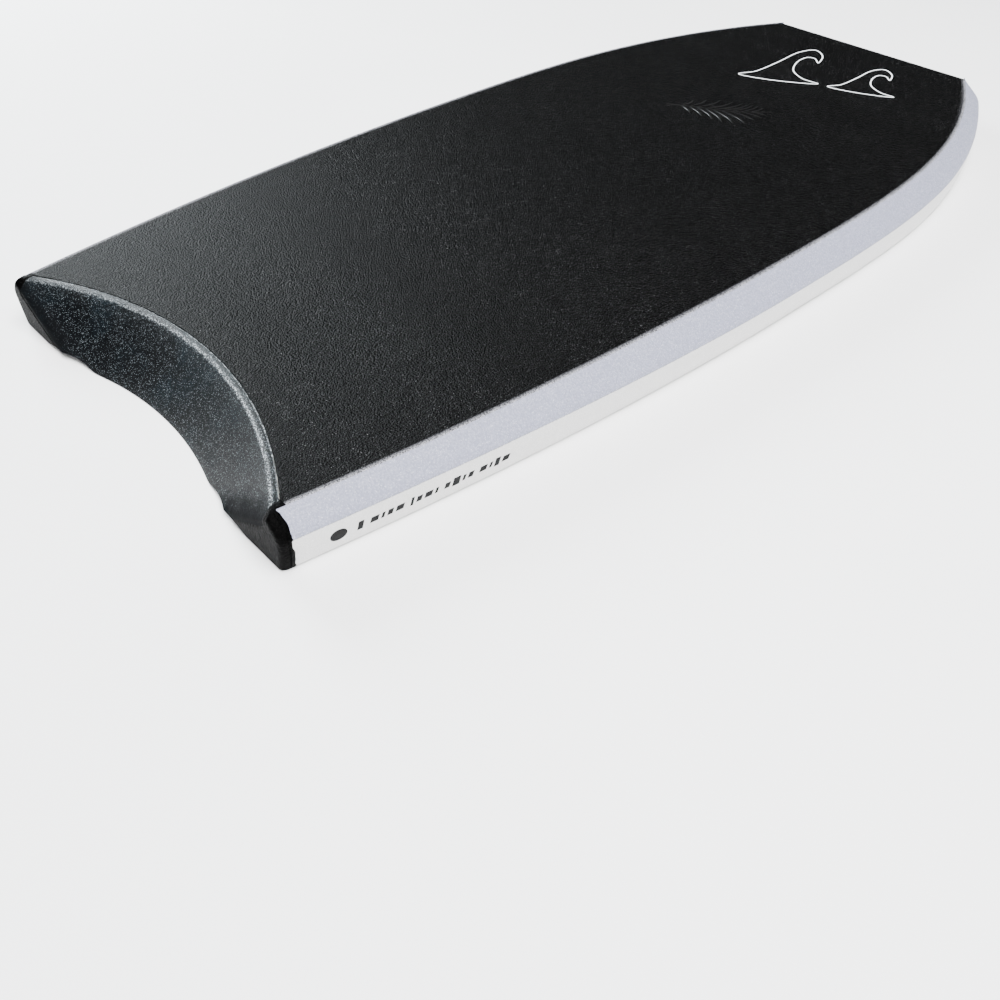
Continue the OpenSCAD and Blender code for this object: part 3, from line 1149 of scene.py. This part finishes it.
@dataclass
class DeckSheet:
    """The deck skin: a foam sheet with a rolled rim, cut round the crescent."""

    form: BoardForm
    rim: float = 0.9 * MM
    wander: float = 0.18 * MM
    fuzz_width: float = 4.5 * MM
    step: int = 6
    cells_across: int = 96
    cells_along: int = 216
    rim_steps: tuple[float, ...] = (0.0, 0.1, 0.3, 0.6, 1.0, 1.8)
    first_cell: float = 4.5 * MM

    def spacing(self, cells: int, size: float) -> np.ndarray:
        """Places from 0 to 1 that crowd at both ends, where the rim rolls over.

        Args:
            cells: Even cells between the two crowded ends.
            size: Real size that the places span.

        Returns:
            The places.
        """
        crowd = np.array(self.rim_steps) * MM / size
        first = self.first_cell / size
        middle = np.linspace(first, 1 - first, cells + 1)
        return np.concatenate([crowd, middle, (1 - crowd)[::-1]])

    def grid(self) -> tuple[np.ndarray, np.ndarray, np.ndarray]:
        """Lays the sheet's grid, crowded along its borders.

        Returns:
            Places across, places along, and distances from the nearest border.
        """
        f = self.form
        u = (self.spacing(self.cells_across, f.width * 0.8) * 2 - 1)[None, :]
        t = self.spacing(self.cells_along, f.length)[:, None]
        return f.sheet(u, t, f.deck_edge, f.wrap, f.deck_z)

    def fuzz(self, x: np.ndarray, y: np.ndarray) -> np.ndarray:
        """How much white foam dust lies on the sheet near the rails, 0 to 1."""
        gap = self.form.deck_edge(y) - np.abs(x)
        return np.clip(1 - gap / self.fuzz_width, 0, 1) ** 1.5

    def build(self, finishes: Finishes) -> None:
        """Builds the sheet and puts it on the board.

        Args:
            finishes: Every material on the board.
        """
        f = self.form
        x, y, margin = self.grid()
        inset = np.clip(self.rim - margin, 0, self.rim)
        drop = self.rim - np.sqrt(np.maximum(self.rim**2 - inset**2, 0))
        wave = np.sin(y * 710) * np.sin(y * 233 + 1) * self.wander * np.clip(1 - margin / (4 * MM), 0, 1)
        outer = np.stack([x + wave * np.sign(x), y, f.deck_z(y) - drop], axis=-1)
        inner = np.stack([x, y, f.deck_z(y) - f.deck_t], axis=-1)
        mesh = mark_fuzz_and_painted_light(slab("deck_sheet", outer, inner, self.step), self.fuzz(x, y))
        place("deck_sheet", mesh, finishes.deck, "deck_foam", ["deck_skin"])


@dataclass
class SlickSheet:
    """The slick: a glossy film that has sunk a little into the mesh below it."""

    form: BoardForm
    pitch: float = 11.0 * MM
    hollow: float = 0.32 * MM
    border: float = 6 * MM
    overlap: float = 0.1 * MM
    step: int = 6
    cells_across: int = 204
    cells_along: int = 390

    def build(self, finishes: Finishes) -> None:
        """Builds the sheet with its quilted bumps and puts it on the board.

        Args:
            finishes: Every material on the board.
        """
        f = self.form
        u = np.linspace(-1, 1, self.cells_across + 1)[None, :]
        t = np.linspace(0, 1, self.cells_along + 1)[:, None]
        x, y, margin = f.sheet(u, t, f.slick_edge, f.bead, np.zeros_like)
        turn = 2 * np.pi
        quilt = (1 - np.cos(turn * (x + y) / self.pitch) * np.cos(turn * (x - y) / self.pitch)) / 2
        surface = f.slick_surface(x, y)
        sunk = self.hollow * quilt * np.clip(margin / self.border, 0, 1)
        outer = np.stack([x, y, surface + sunk], axis=-1)
        inner = np.stack([x, y, surface + f.slick_t - self.overlap], axis=-1)
        mesh = slab("slick_sheet", outer, inner, self.step)
        place("slick_sheet", mesh, finishes.slick, "slick_film", ["slick_skin"])


# ---------------------------------------------------------------- rails


@dataclass
class Rails:
    """The double rails and the strip beside the slick, made once and mirrored."""

    form: BoardForm
    station_gap: float = 4.5 * MM
    corner_steps: int = 22
    seam_radius: float = 0.8 * MM
    upper_face: tuple[tuple[float, float], ...] = (
        (0, 0), (0.04, 0.14), (0.15, 0.31), (0.52, 0.66), (0.86, 0.92), (1, 1),
    )
    lower_face: tuple[tuple[float, float], ...] = (
        (0, 0), (0.3, 0.15), (0.62, 0.38), (0.86, 0.64), (0.98, 0.86), (1, 1),
    )
    face_steps: int = 4
    lip_height: float = 0.8 * MM
    strip_top: float = 3.5 * MM
    strip_foot: float = 0.4 * MM
    strip_side: float = 1.6 * MM

    @property
    def last_point(self) -> int:
        """Number of a face's last point."""
        return self.face_steps * (len(self.upper_face) - 1)

    def stations(self) -> np.ndarray:
        """Spaces the sections along the board, closer round the nose corners.

        Returns:
            Places along the board.
        """
        f = self.form
        corner = f.half - f.corner_radius
        body = np.arange(f.skin_start, corner, self.station_gap)
        turn = corner + f.corner_radius * np.sin(np.linspace(0, np.pi / 2, self.corner_steps + 1))
        return np.concatenate([[f.rail_start], body, turn])

    def upper_outline(self, y: np.ndarray) -> np.ndarray:
        """Draws the face of the upper rail from the seam to the deck.

        Args:
            y: Stations along the board.

        Returns:
            Across and up, as stations by points.
        """
        f = self.form
        face = smooth_through(self.upper_face, self.face_steps)
        x = f.chine_edge(y)[:, None] - face[:, 0] * (f.chine_edge(y) - f.deck_edge(y))[:, None]
        z = f.chine_z(y)[:, None] + face[:, 1] * (f.deck_z(y) - f.chine_z(y))[:, None]
        return np.stack([x, z], axis=-1)

    def lower_outline(self, y: np.ndarray) -> np.ndarray:
        """Draws the face of the lower rail from its lip to the seam.

        Args:
            y: Stations along the board.

        Returns:
            Across and up, as stations by points.
        """
        f = self.form
        face = smooth_through(self.lower_face, self.face_steps)
        lip_x = f.slick_edge(y) + f.strip_width(y) + f.groove_width(y)
        lip_z = f.slick_z(y) + self.lip_height
        x = lip_x[:, None] + face[:, 0] * (f.chine_edge(y) - lip_x)[:, None]
        z = lip_z[:, None] + face[:, 1] * (f.chine_z(y) - lip_z)[:, None]
        return np.stack([x, z], axis=-1)

    def body(
        self,
        name: str,
        y: np.ndarray,
        face: np.ndarray,
        hidden: Sequence[tuple[np.ndarray, np.ndarray]],
        side: Side,
        seams: Sequence[int] = (),
    ) -> bpy.types.Mesh:
        """Lofts one rail from its outer face and its hidden corners.

        Args:
            name: The mesh's name.
            y: Stations along the board.
            face: The outer face at each station.
            hidden: Hidden corners, each as an across and an up array.
            side: The side of the board.
            seams: Points of the face that get painted shade along a seam.

        Returns:
            The rounded mesh.
        """
        corners = np.stack([np.stack([x, z], axis=-1) for x, z in hidden], axis=1)
        loop = np.concatenate([face, corners], axis=1)
        along = np.repeat(y[:, None], loop.shape[1], axis=1)
        sections = np.stack([loop[..., 0] * side.value, along, loop[..., 1]], axis=-1)
        # Painted shade: the seam points take the foam's dark seam colour.
        worn = np.zeros(loop.shape[:2])
        worn[:, list(seams)] = 1
        return rounded(mark_fuzz_and_painted_light(loft(name, sections), worn), self.seam_radius)

    def build(self, finishes: Finishes) -> None:
        """Builds the rails and strips on both sides.

        Args:
            finishes: Every material on the board.
        """
        f = self.form
        y = self.stations()
        root, deck, slick = f.root_edge(y), f.deck_edge(y), f.slick_edge(y)
        chine, floor, top = f.chine_z(y), f.slick_z(y), f.deck_z(y)
        strip = slick + f.strip_width(y)
        for side in Side:
            tag = side.name.lower()
            upper = self.body(
                f"upper_rail_foam_{tag}", y, self.upper_outline(y),
                [(deck, top - f.deck_t), (root, top - f.deck_t), (root, chine)], side, (0, self.last_point),
            )
            place(upper.name, upper, finishes.upper, "upper_rail_foam", [f"upper_rail_{tag}"])
            lower = self.body(
                f"lower_rail_foam_{tag}", y, self.lower_outline(y),
                [
                    (root, chine), (root, floor + f.slick_t), (slick, floor + f.slick_t),
                    (strip, floor + f.slick_t + self.strip_top), (strip, floor + self.strip_side),
                ],
                side, (self.last_point,),
            )
            place(lower.name, lower, finishes.lower, "lower_rail_foam", [f"lower_rail_{tag}"])
            foot = floor + self.strip_foot
            ends = (slick, slick + f.strip_width(y) * 0.75)
            face = np.stack([np.stack([end, foot], axis=-1) for end in ends], axis=1)
            bead = self.body(
                f"edge_strip_foam_{tag}", y, face,
                [
                    (strip, floor + self.strip_side), (strip, floor + f.slick_t + self.strip_top),
                    (slick, floor + f.slick_t),
                ],
                side,
            )
            place(bead.name, bead, finishes.strip, "edge_foam", [f"edge_strip_{tag}"])


# ---------------------------------------------------------------- tail and nose


@dataclass
class TailCover:
    """The skin wrapped over the crescent, with a rolled rim and a lip on the deck, and a painted highlight
    along the rim and the lip that grows toward the right.
    """

    form: BoardForm
    stations: int = 300
    rim: float = 2.7 * MM
    foot: float = 1.2 * MM
    rim_light: float = math.radians(38)
    rim_spread: float = math.radians(22)
    face_steps: int = 14
    # Strength of the painted rim highlight at the left end, the middle and the right end.
    rim_highlight_across: tuple[float, float, float] = (0.3, 0.75, 1.0)
    # Lip points: inward share, drop in millimetres and painted highlight amount.
    lip_steps: tuple[tuple[float, float, float], ...] = (
        (0.8, 0.0, 0), (0.4, 0.0, 0), (0.3, 0.0, 0.9), (0.03, 0.25, 0.9), (0, 1.2, 0),
    )

    def profile(self, low: np.ndarray, top: np.ndarray) -> tuple[np.ndarray, np.ndarray, np.ndarray]:
        """Draws the section from the foot over the rim to the lip and down inside.

        Args:
            low: Height of the foot at each station.
            top: Height of the deck at each station.

        Returns:
            Growth into the board, height and painted highlight amount, each as stations by points.
        """
        f = self.form
        lip = f.wrap - 0.1 * MM
        grow, height, worn = [lip, self.foot, 0.3 * self.foot], [low, low, low + 0.3 * self.foot], [0, 0, 0.1]
        for share in np.linspace(0, 1, self.face_steps) ** 0.8:
            grow.append(0.0)
            height.append(low + self.foot + (top - self.rim - low - self.foot) * share)
            worn.append(0.08 * share**8)
        # The painted highlight peaks on the rolled rim around one angle.
        for angle in np.radians((12, 25, 38, 50, 62, 74, 90)):
            grow.append(self.rim * (1 - math.cos(angle)))
            height.append(top - self.rim * (1 - math.sin(angle)))
            worn.append(math.exp(-(((angle - self.rim_light) / self.rim_spread) ** 2)))
        for share, drop, lip_highlight in self.lip_steps:
            grow.append(lip - (lip - self.rim) * share)
            height.append(top - drop * MM)
            worn.append(lip_highlight)
        grow.append(lip)
        height.append((low + top) / 2)
        worn.append(0)
        count = len(low)
        return (
            np.stack([np.full(count, g) for g in grow], axis=1),
            np.stack(height, axis=1),
            np.tile(np.array(worn, float), (count, 1)),
        )

    def build(self, finishes: Finishes) -> None:
        """Builds the cover and puts it on the board.

        Args:
            finishes: Every material on the board.
        """
        f = self.form
        half = float(f.root_edge(np.array(f.rail_start)))
        x = np.linspace(-half, half, self.stations)
        top = f.deck_z(f.reach(x, f.wrap / 2, f.thickness))
        low = np.maximum(f.slick_surface(x, f.reach(x, 0.0, 0.0)), f.peg_height(x, f.wrap) - self.foot)
        grow, z, worn = self.profile(low, top)
        # The painted highlight is weaker toward the left end.
        worn = worn * np.interp(x, (-half, 0.0, half), self.rim_highlight_across)[:, None]
        across = np.repeat(x[:, None], grow.shape[1], axis=1)
        wobble = 0.15 * MM * np.sin(across * 310) * np.sin(across * 97 + 2) * (worn > 0.5)
        y = np.maximum(f.reach(across, grow + wobble, z), -f.half + 0.3 * MM)
        mesh = mark_fuzz_and_painted_light(loft("tail_cover", np.stack([across, y, z], axis=-1)), worn)
        place("tail_cover", mesh, finishes.tail, "tail_skin", ["tail_wrap"])


@dataclass
class CapSkirts:
    """Thin uneven edges where the peg caps are heat-sealed over the rail ends."""

    form: BoardForm
    rails: Rails
    lift: float = 0.35 * MM
    reach_on: float = 2.2 * MM
    uneven: float = 1.3 * MM

    def build(self, finishes: Finishes) -> None:
        """Builds one skirt on each side.

        Args:
            finishes: Every material on the board.
        """
        start = self.form.rail_start
        ends = np.array([start - 0.8 * MM, start, start + 2 * self.reach_on])
        outlines = np.concatenate([self.rails.lower_outline(ends), self.rails.upper_outline(ends)], axis=1)
        count = outlines.shape[1]
        s = np.linspace(0, 1, count)
        for side in Side:
            wave = np.sin(s * 9 + side.value) + 0.6 * np.sin(s * 23 + 2) + 0.3 * np.sin(s * 51)
            front = start + self.reach_on + self.uneven * wave * 0.6
            back = np.full(count, ends[0])
            rows = []
            for y, lift in ((back, -0.4), (back, 1.0), (front - 0.5 * MM, 1.0), (front, -0.4)):
                share = np.clip((y - ends[1]) / (ends[2] - ends[1]), 0, 1)[:, None]
                spot = outlines[1] * (1 - share) + outlines[2] * share
                ahead = np.gradient(spot, axis=0)
                out = np.stack([ahead[:, 1], -ahead[:, 0]], -1) / np.linalg.norm(ahead, axis=1)[:, None]
                spot = spot + out * self.lift * lift
                rows.append(np.stack([spot[:, 0] * side.value, y, spot[:, 1]], axis=-1))
            tag = side.name.lower()
            skirt = loft(f"cap_skirt_{tag}", np.stack(rows, axis=1))
            place(skirt.name, skirt, finishes.tip, "tip_foam")


@dataclass
class SoftEnds:
    """The bead under the crescent, the two peg caps and the nose bumper."""

    bead_cell: float = 0.55 * MM
    cap_cell: float = 0.8 * MM

    def build(self, finishes: Finishes) -> None:
        """Builds the pieces at both ends of the board.

        Args:
            finishes: Every material on the board.
        """
        bead = softened("tail_bead", self.bead_cell, 4)
        place("tail_edge_bead", bead, finishes.tail, "tail_skin", ["tail_bead"])
        for side in Side:
            tag = side.name.lower()
            cap = softened(f"tail_tip_{tag}", self.cap_cell, 8)
            place(f"peg_cap_{tag}", cap, finishes.tip, "tip_foam", [f"tail_tip_{tag}"])
        nose = softened("nose_bumper", self.cap_cell, 6)
        place("nose_cap", nose, finishes.nose, "nose_foam", ["nose_bumper"])


# ---------------------------------------------------------------- printed and pressed marks


def ribbon(
    name: str, lay: Lay, path: np.ndarray, half: np.ndarray, height: float, closed: bool
) -> bpy.types.Mesh:
    """Makes a thin raised line that follows a surface.

    Args:
        name: The mesh's name.
        lay: Puts flat places on the surface, lifted by an amount.
        path: The line's middle, as flat places.
        half: Half the line's width at each place.
        height: How far it stands proud.
        closed: Whether the line returns to its start.

    Returns:
        The mesh.
    """
    if closed:
        ahead = np.roll(path, -1, 0) - np.roll(path, 1, 0)
    else:
        ahead = np.gradient(path, axis=0)
    size = np.maximum(np.linalg.norm(ahead, axis=1), 1e-9)[:, None]
    across = np.stack([-ahead[:, 1], ahead[:, 0]], -1) / size
    rows = []
    for share, lift in ((-1, -0.5), (-0.75, 0.8), (0, 1), (0.75, 0.8), (1, -0.5)):
        spot = path + across * (half * share)[:, None]
        rows.append(lay(spot[:, 0], spot[:, 1], height * lift))
    sections = np.stack(rows, axis=1)
    if not closed:
        return loft(name, sections)
    m, n, _ = sections.shape
    return closed_mesh(name, sections.reshape(-1, 3), tube_faces(m, n, wrap=True))


def patch(name: str, lay: Lay, outline: np.ndarray, height: float) -> bpy.types.Mesh:
    """Makes a thin raised filled shape that follows a surface.

    Args:
        name: The mesh's name.
        lay: Puts flat places on the surface, lifted by an amount.
        outline: The shape's closed border, as flat places.
        height: How far it stands proud.

    Returns:
        The mesh.
    """
    middle = outline.mean(axis=0)
    n = len(outline)
    rings = [lay(*(middle + (outline - middle) * share).T, lift) for share, lift in (
        (0.33, height), (0.67, height), (1.0, height), (1.0, -height / 2), (0.5, -height / 2)
    )]
    centre = lay(*np.stack([middle, middle], axis=1), 0.0)
    centre[0] += (rings[0] - rings[-1]).mean(axis=0)
    faces = tube_faces(len(rings), n)
    for first, hub in ((0, len(rings) * n), ((len(rings) - 1) * n, len(rings) * n + 1)):
        faces += [(first + k, first + (k + 1) % n, hub) for k in range(n)]
    return closed_mesh(name, np.vstack([*rings, centre]), faces)


def joined(name: str, meshes: Sequence[bpy.types.Mesh]) -> bpy.types.Mesh:
    """Puts several meshes into one.

    Args:
        name: The new mesh's name.
        meshes: The meshes to join.

    Returns:
        The joined mesh.
    """
    bm = bmesh.new()
    for mesh in meshes:
        bm.from_mesh(mesh)
        bpy.data.meshes.remove(mesh)
    made = bpy.data.meshes.new(name)
    bm.to_mesh(made)
    bm.free()
    return made


@dataclass
class Marks:
    """Plain wave, frond and dash marks on the deck, the slick and one rail."""

    form: BoardForm
    rails: Rails
    crest: tuple[tuple[float, float], ...] = (
        (0.0, 0.0), (0.22, 0.16), (0.42, 0.5), (0.6, 0.86), (0.84, 1.0), (1.04, 0.84), (1.06, 0.62),
        (0.95, 0.74), (0.8, 0.74), (0.72, 0.56), (0.78, 0.3), (1.02, 0.1), (1.3, 0.0), (0.6, -0.05),
    )
    print_lift: float = 0.12 * MM
    press_lift: float = 0.5 * MM
    deck_waves_at: tuple[tuple[Flat, Flat, Flat], ...] = (
        ((-0.066, 0.345), (0.066, 0.034), (-0.036, 0.106)),
        ((0.034, 0.392), (0.056, 0.022), (-0.028, 0.076)),
    )
    deck_line: float = 0.95 * MM
    stem: tuple[Flat, ...] = ((-0.066, 0.206), (-0.035, 0.226), (0.0, 0.245), (0.034, 0.279))
    blades: int = 9
    blade_width: float = 1.9 * MM
    disc_at: float = -0.489
    disc_radius: float = 0.007
    dashes_at: float = -0.474
    dashes: int = 17
    dash_up: float = 0.5
    slick_wave_at: tuple[Flat, Flat, Flat] = ((0.11, 0.28), (-0.085, 0.03), (0.03, 0.12))
    slick_wave_line: float = 2.2 * MM
    slick_lines: int = 3
    slick_line: float = 1.1 * MM

    def on_deck(self, x: np.ndarray, y: np.ndarray, lift: float) -> np.ndarray:
        """Puts flat places on the deck."""
        return np.stack([x, y, self.form.deck_z(y) + lift], axis=-1)

    def on_slick(self, x: np.ndarray, y: np.ndarray, lift: float) -> np.ndarray:
        """Puts flat places on the underside of the slick."""
        return np.stack([x, y, self.form.slick_surface(x, y) - lift + 0.02 * MM], axis=-1)

    def on_lower_rail(self, y: np.ndarray, up: np.ndarray, lift: float) -> np.ndarray:
        """Puts places on the right lower rail's face.

        Args:
            y: Places along the board.
            up: Shares of the face's height.
            lift: How far they stand proud.

        Returns:
            Places on the board.
        """
        face = self.rails.lower_outline(y)
        share = np.linspace(0, 1, face.shape[1])
        x = np.array([np.interp(s, share, row[:, 0]) for s, row in zip(up, face)])
        z = np.array([np.interp(s, share, row[:, 1]) for s, row in zip(up, face)])
        return np.stack([x + lift * 0.9, y, z - lift * 0.4], axis=-1)

    def wave(self, origin: Flat, along: Flat, up: Flat) -> np.ndarray:
        """Lays the wave's outline on a flat patch.

        Args:
            origin: Its lower left corner.
            along: Its length, as a direction.
            up: Its height, as a direction.

        Returns:
            Points on the outline.
        """
        line = smooth_through(self.crest, 10, closed=True)
        return np.array(origin) + line[:, :1] * np.array(along) + line[:, 1:2] * np.array(up)

    def deck_waves(self, finishes: Finishes) -> None:
        """Prints two outlined waves on the deck near the nose.

        Args:
            finishes: Every material on the board.
        """
        parts = []
        for k, lay in enumerate(self.deck_waves_at):
            line = self.wave(*lay)
            half = np.full(len(line), self.deck_line)
            parts.append(ribbon(f"deck_wave_{k}", self.on_deck, line, half, self.print_lift, True))
        place("deck_wave_print", joined("deck_wave_print", parts), finishes.white_ink)

    def deck_frond(self, finishes: Finishes) -> None:
        """Presses a frond of tapered blades into the deck.

        Args:
            finishes: Every material on the board.
        """
        stem = smooth_through(self.stem, 8)
        taper = np.linspace(1.3, 0.6, len(stem)) * MM
        parts = [ribbon("stem", self.on_deck, stem, taper, self.press_lift, False)]
        for k in range(self.blades):
            root = stem[4 + 2 * k]
            ahead = stem[5 + 2 * k] - root
            heading = math.atan2(ahead[1], ahead[0])
            size = 0.036 * math.sin(math.pi * (k + 1.6) / 11) + 0.006
            for turn in (-1, 1):
                angle = heading + turn * (1.0 - 0.05 * k)
                tip = root + size * np.array([math.cos(angle), math.sin(angle)])
                bend = (root + tip) / 2 + 0.12 * size * np.array([math.cos(heading), math.sin(heading)])
                blade = smooth_through((root, bend, tip), 6)
                width = np.sin(np.linspace(0.25, np.pi - 0.15, len(blade))) * self.blade_width
                parts.append(ribbon(f"blade_{k}", self.on_deck, blade, width, self.press_lift, False))
        place("deck_frond_emblem", joined("deck_frond_emblem", parts), finishes.pressed, "deck_foam")

    def rail_dashes(self, finishes: Finishes) -> None:
        """Prints a disc and a row of dashes on the right lower rail.

        Args:
            finishes: Every material on the board.
        """
        turn = np.linspace(0, 2 * np.pi, 40, endpoint=False)
        disc = np.stack(
            [self.disc_at + self.disc_radius * np.cos(turn), self.dash_up + 0.15 * np.sin(turn)], axis=-1
        )
        parts = [patch("rail_disc", self.on_lower_rail, disc, self.print_lift)]
        y = self.dashes_at
        for k in range(self.dashes):
            size = (4.6 + 2.4 * math.sin(2.1 * k)) * MM
            tall = 0.07 if k % 5 else 0.11
            low, high, lean = self.dash_up - tall, self.dash_up + tall, 1.4 * MM
            box = np.array([[y, low], [y + size, low], [y + size + lean, high], [y + lean, high]])
            parts.append(patch(f"rail_dash_{k}", self.on_lower_rail, box, self.print_lift))
            y += size + (2.6 if k % 4 else 6.0) * MM
        place("rail_dash_print", joined("rail_dash_print", parts), finishes.dark_ink)

    def slick_waves(self, finishes: Finishes) -> None:
        """Prints a filled wave near the nose and three thin lines near the tail of the slick.

        Args:
            finishes: Every material on the board.
        """
        wave = self.wave(*self.slick_wave_at)
        half = np.full(len(wave), self.slick_wave_line)
        parts = [ribbon("slick_wave", self.on_slick, wave, half, self.print_lift, True)]
        s = np.linspace(-0.036, 0.036, 48)
        half = np.full(len(s), self.slick_line)
        for k in range(self.slick_lines):
            line = np.stack([s, -0.44 - 0.012 * k + 0.0022 * np.sin(s * 190)], axis=-1)
            parts.append(ribbon(f"slick_line_{k}", self.on_slick, line, half, self.print_lift, False))
        place("slick_wave_print", joined("slick_wave_print", parts), finishes.silver_ink)

    def build(self, finishes: Finishes) -> None:
        """Builds every mark.

        Args:
            finishes: Every material on the board.
        """
        self.deck_waves(finishes)
        self.deck_frond(finishes)
        self.rail_dashes(finishes)
        self.slick_waves(finishes)


# ---------------------------------------------------------------- studio


@dataclass(frozen=True)
class Softbox:
    """One soft area light that looks at the board."""

    name: str
    place: Place
    aim: Place
    size: float
    power: float
    tint: Colour = (1.0, 1.0, 1.0)

    def build(self) -> None:
        """Hangs the light."""
        light = bpy.data.lights.new(self.name, "AREA")
        light.shape, light.size, light.energy, light.color = "SQUARE", self.size, self.power, self.tint
        lamp = bpy.data.objects.new(self.name, light)
        bpy.context.scene.collection.objects.link(lamp)
        lamp.location = self.place
        lamp.rotation_euler = aim_rotation(self.place, self.aim)


def aim_rotation(start: Place, end: Place) -> Place:
    """Turns something that looks down -Z so that it looks from one place to another.

    Args:
        start: Where it stands.
        end: Where it looks.

    Returns:
        The rotation as X, Y and Z angles.
    """
    x, y, z = np.array(end) - np.array(start)
    return math.atan2(math.hypot(x, y), -z), 0.0, math.atan2(-x, y)


@dataclass
class Studio:
    """Pale floor, soft light and the camera."""

    floor_size: float = 30.0
    floor_tone: Colour = (0.93, 0.93, 0.935)
    world_tone: Colour = (0.95, 0.97, 1.0)
    world_strength: float = 0.22
    camera_place: Place = (0.6917, -0.74986, 0.54012)
    camera_turn: Place = (0.8141, 0.0012, 0.8333)
    lens: float = 36.43
    lights: tuple[Softbox, ...] = (
        Softbox("ceiling softbox", (1.3, -0.4, 3.2), (0.0, 0.0, 0.0), 2.4, 520.0),
        Softbox("left softbox", (-2.4, -0.2, 1.15), (0.0, -0.45, 0.0), 1.0, 185.0, (0.9, 0.97, 1.0)),
        Softbox("rail softbox", (2.4, -1.6, 0.9), (0.1, -0.2, 0.0), 1.3, 40.0),
    )

    def floor(self) -> None:
        """Lays the pale floor."""
        w, shader, here = new_material("pale floor")
        shade = w.noise(here, 3.0, 2.0)
        tone = self.floor_tone
        darker = tuple(c * 0.985 for c in tone)
        w.feed(shader.inputs["Base Color"], w.blend(w.stretch(shade, 0.35, 0.65), darker, tone))
        w.feed(shader.inputs["Roughness"], w.stretch(shade, 0.3, 0.7, 0.85, 0.95))
        h, z = self.floor_size / 2, cad_box[0].z - 0.3 * MM
        mesh = bpy.data.meshes.new("floor")
        mesh.from_pydata([(-h, -h, z), (h, -h, z), (h, h, z), (-h, h, z)], [], [(0, 1, 2, 3)])
        mesh.materials.append(material_of(w))
        floor = bpy.data.objects.new("floor", mesh)
        bpy.context.scene.collection.objects.link(floor)

    def world(self) -> None:
        """Fills the room with even light."""
        world = bpy.data.worlds.new("room")
        world.use_nodes = True
        background = world.node_tree.nodes["Background"]
        background.inputs["Color"].default_value = rgba(self.world_tone)
        background.inputs["Strength"].default_value = self.world_strength
        bpy.context.scene.world = world

    def camera(self) -> None:
        """Sets the camera up behind the right peg, looking over the deck to the nose."""
        data = bpy.data.cameras.new("camera")
        data.sensor_width, data.lens = 36.0, self.lens
        camera = bpy.data.objects.new("camera", data)
        camera.location, camera.rotation_euler = self.camera_place, self.camera_turn
        bpy.context.scene.collection.objects.link(camera)
        bpy.context.scene.camera = camera

    def build(self) -> None:
        """Builds the whole studio."""
        self.floor()
        self.world()
        for light in self.lights:
            light.build()
        self.camera()


def main() -> None:
    """Builds the board's pieces in order, then the studio."""
    form = BoardForm.from_frame()
    finishes = Finishes(form)
    rails = Rails(form)
    DeckSheet(form).build(finishes)
    SlickSheet(form).build(finishes)
    rails.build(finishes)
    TailCover(form).build(finishes)
    SoftEnds().build(finishes)
    CapSkirts(form, rails).build(finishes)
    Marks(form, rails).build(finishes)
    Studio().build()


if __name__ == "__main__":
    main()
